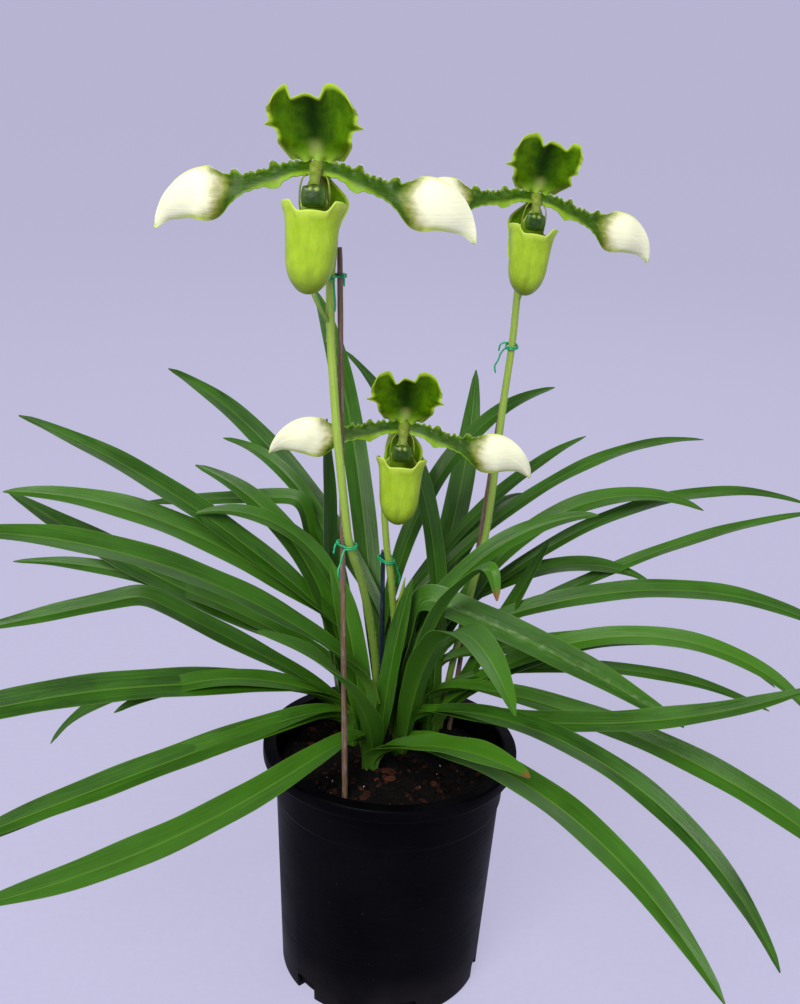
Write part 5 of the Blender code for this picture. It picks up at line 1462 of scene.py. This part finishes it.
def bloom_down(number, flower):
    """Hairs on the arms' upper margins, and a tuft from the column's back to its shield."""
    draw = np.random.default_rng(300 + number)
    parts = []
    for side in (-1.0, 1.0):
        grid, _, _, _ = petal_grid(number, side)
        row = draw.integers(4, 84, BLOOM_HAIRS)
        roots = grid[row, -1]
        out = roots - grid[row, -4] + draw.normal(0.0, 0.5, roots.shape)
        parts.append((roots, out, draw.uniform(0.5, 1.1, BLOOM_HAIRS)))
    one_each = (BLOOM_HAIRS, 1)
    row = draw.uniform(0.0, 1.0, one_each)
    tuft = np.concatenate([draw.normal(0.0, 1.3, one_each), 2.0 + 5.0 * row, 9.4 - 5.0 * row], axis=1)
    out = np.concatenate([draw.normal(0.0, 0.6, one_each), np.full(one_each, 0.4), np.ones(one_each)],
                         axis=1)
    parts.append((tuft, out, draw.uniform(0.6, 1.3, BLOOM_HAIRS)))
    made = []
    for roots, out, lengths in parts:
        tips = place(flower, roots + out) - place(flower, roots)
        made.append(spikes(place(flower, roots), tips, lengths, 0.05))
    return made


for number, flower in FLOWERS.items():
    piece(f"bloom_down_{number}", bloom_down(number, flower), pale_down, None)

# %% [markdown]
# ## Stage, light and camera
# The plant stands on a plain pale floor that sweeps up far away all round, so that every view has
# the same quiet ground. A large soft lamp above and beside the camera gives the gentle shine on
# the leaves, a second one fills from the other side, a third shines from behind, and the pale
# sky does the rest. The camera
# looks down at the plant as a person standing in front of it would. Its lens, tilt and roll are
# fitted to the photograph.

# %% Stage
def floor_finish():
    """Matt pale cloth colour that glows a little; its light isn't sampled as a lamp's, to save time."""
    f = Finish("pale_floor", 0.9, Specular_IOR_Level=0.1,
               Emission_Color=paint(205, 202, 232), Emission_Strength=0.69)
    weave = f.noise(f.here(), 260.0, 2.0)
    f.material.cycles.emission_sampling = "NONE"
    return f.done(f.tones(weave, 0.2, 0.8, (95, 94, 110), (101, 100, 116)))


FLOOR_SIDES = 96
FLOOR_FLAT = 4000.0            # millimetres from the middle that stay level
FLOOR_SWEEP = 5000.0
FLOOR_RISE = 4500.0
bend = np.linspace(0.1, 1.0, 14) * math.pi / 2
floor_radii = np.concatenate([[0.2, 2000.0, FLOOR_FLAT], FLOOR_FLAT + FLOOR_SWEEP * np.sin(bend)])
floor_heights = np.concatenate([[0.0, 0.0, 0.0], FLOOR_RISE * (1.0 - np.cos(bend))])
floor_rings = turned(np.stack([floor_radii, floor_heights - 0.15], axis=1), FLOOR_SIDES)
floor_mesh = bpy.data.meshes.new("sweep")
floor_points = floor_rings.reshape(-1, 3) * MM
floor_quads = quads_of(len(floor_radii), FLOOR_SIDES, True)[:, ::-1]
floor_mesh.from_pydata(floor_points.tolist(), [], floor_quads.tolist())
floor_mesh.shade_smooth()
floor_mesh.materials.append(floor_finish())
floor = bpy.data.objects.new("sweep", floor_mesh)
bpy.context.scene.collection.objects.link(floor)


# %% Light
def lamp(name, location, target, size, power, colour):
    """Square area lamp aimed at a point, hidden from the camera itself."""
    data = bpy.data.lights.new(name, "AREA")
    data.shape = "SQUARE"
    data.size = size
    data.energy = power
    data.color = colour
    made = bpy.data.objects.new(name, data)
    away = np.array(location) - np.array(target)
    away = away / np.linalg.norm(away)
    right = np.cross((0.0, 0.0, 1.0), away)
    right /= np.linalg.norm(right)
    up = np.cross(away, right)
    matrix = np.eye(4)
    matrix[:3, 0], matrix[:3, 1], matrix[:3, 2], matrix[:3, 3] = right, up, away, location
    made.matrix_world = Matrix(matrix.tolist())
    made.visible_camera = False
    bpy.context.scene.collection.objects.link(made)
    return made


lamp("key", (-0.55, -1.25, 1.35), (0.0, 0.0, 0.25), 0.8, 36.0, (1.0, 0.99, 0.96))
lamp("fill", (1.2, -0.9, 0.9), (0.0, 0.0, 0.2), 1.1, 6.0, (0.95, 0.97, 1.0))
lamp("back", (0.3, 1.5, 1.6), (0.0, 0.0, 0.2), 1.0, 8.0, (1.0, 1.0, 1.0))
world = bpy.data.worlds.new("sky")
world.use_nodes = True
world.node_tree.nodes["Background"].inputs["Color"].default_value = paint(222, 222, 240)
world.node_tree.nodes["Background"].inputs["Strength"].default_value = 0.42
bpy.context.scene.world = world
bpy.context.scene.view_settings.view_transform = "Standard"

# %% Camera
CAMERA_PLACE = (-0.0012, -0.544, 0.4475)
CAMERA_PITCH = math.radians(19.0)
CAMERA_ROLL = math.radians(2.9)
camera_data = bpy.data.cameras.new("camera")
camera_data.lens = 43.03       # 1200 pixels for a picture 1004 high, with a 36 mm frame
camera_data.sensor_width = 36.0
camera = bpy.data.objects.new("camera", camera_data)
forward = np.array([0.0, math.cos(CAMERA_PITCH), -math.sin(CAMERA_PITCH)])
level_up = np.array([0.0, math.sin(CAMERA_PITCH), math.cos(CAMERA_PITCH)])
level_right = np.array([1.0, 0.0, 0.0])
matrix = np.eye(4)
matrix[:3, 0] = math.cos(CAMERA_ROLL) * level_right + math.sin(CAMERA_ROLL) * level_up
matrix[:3, 1] = math.cos(CAMERA_ROLL) * level_up - math.sin(CAMERA_ROLL) * level_right
matrix[:3, 2] = -forward
matrix[:3, 3] = CAMERA_PLACE
camera.matrix_world = Matrix(matrix.tolist())
bpy.context.scene.collection.objects.link(camera)
bpy.context.scene.camera = camera
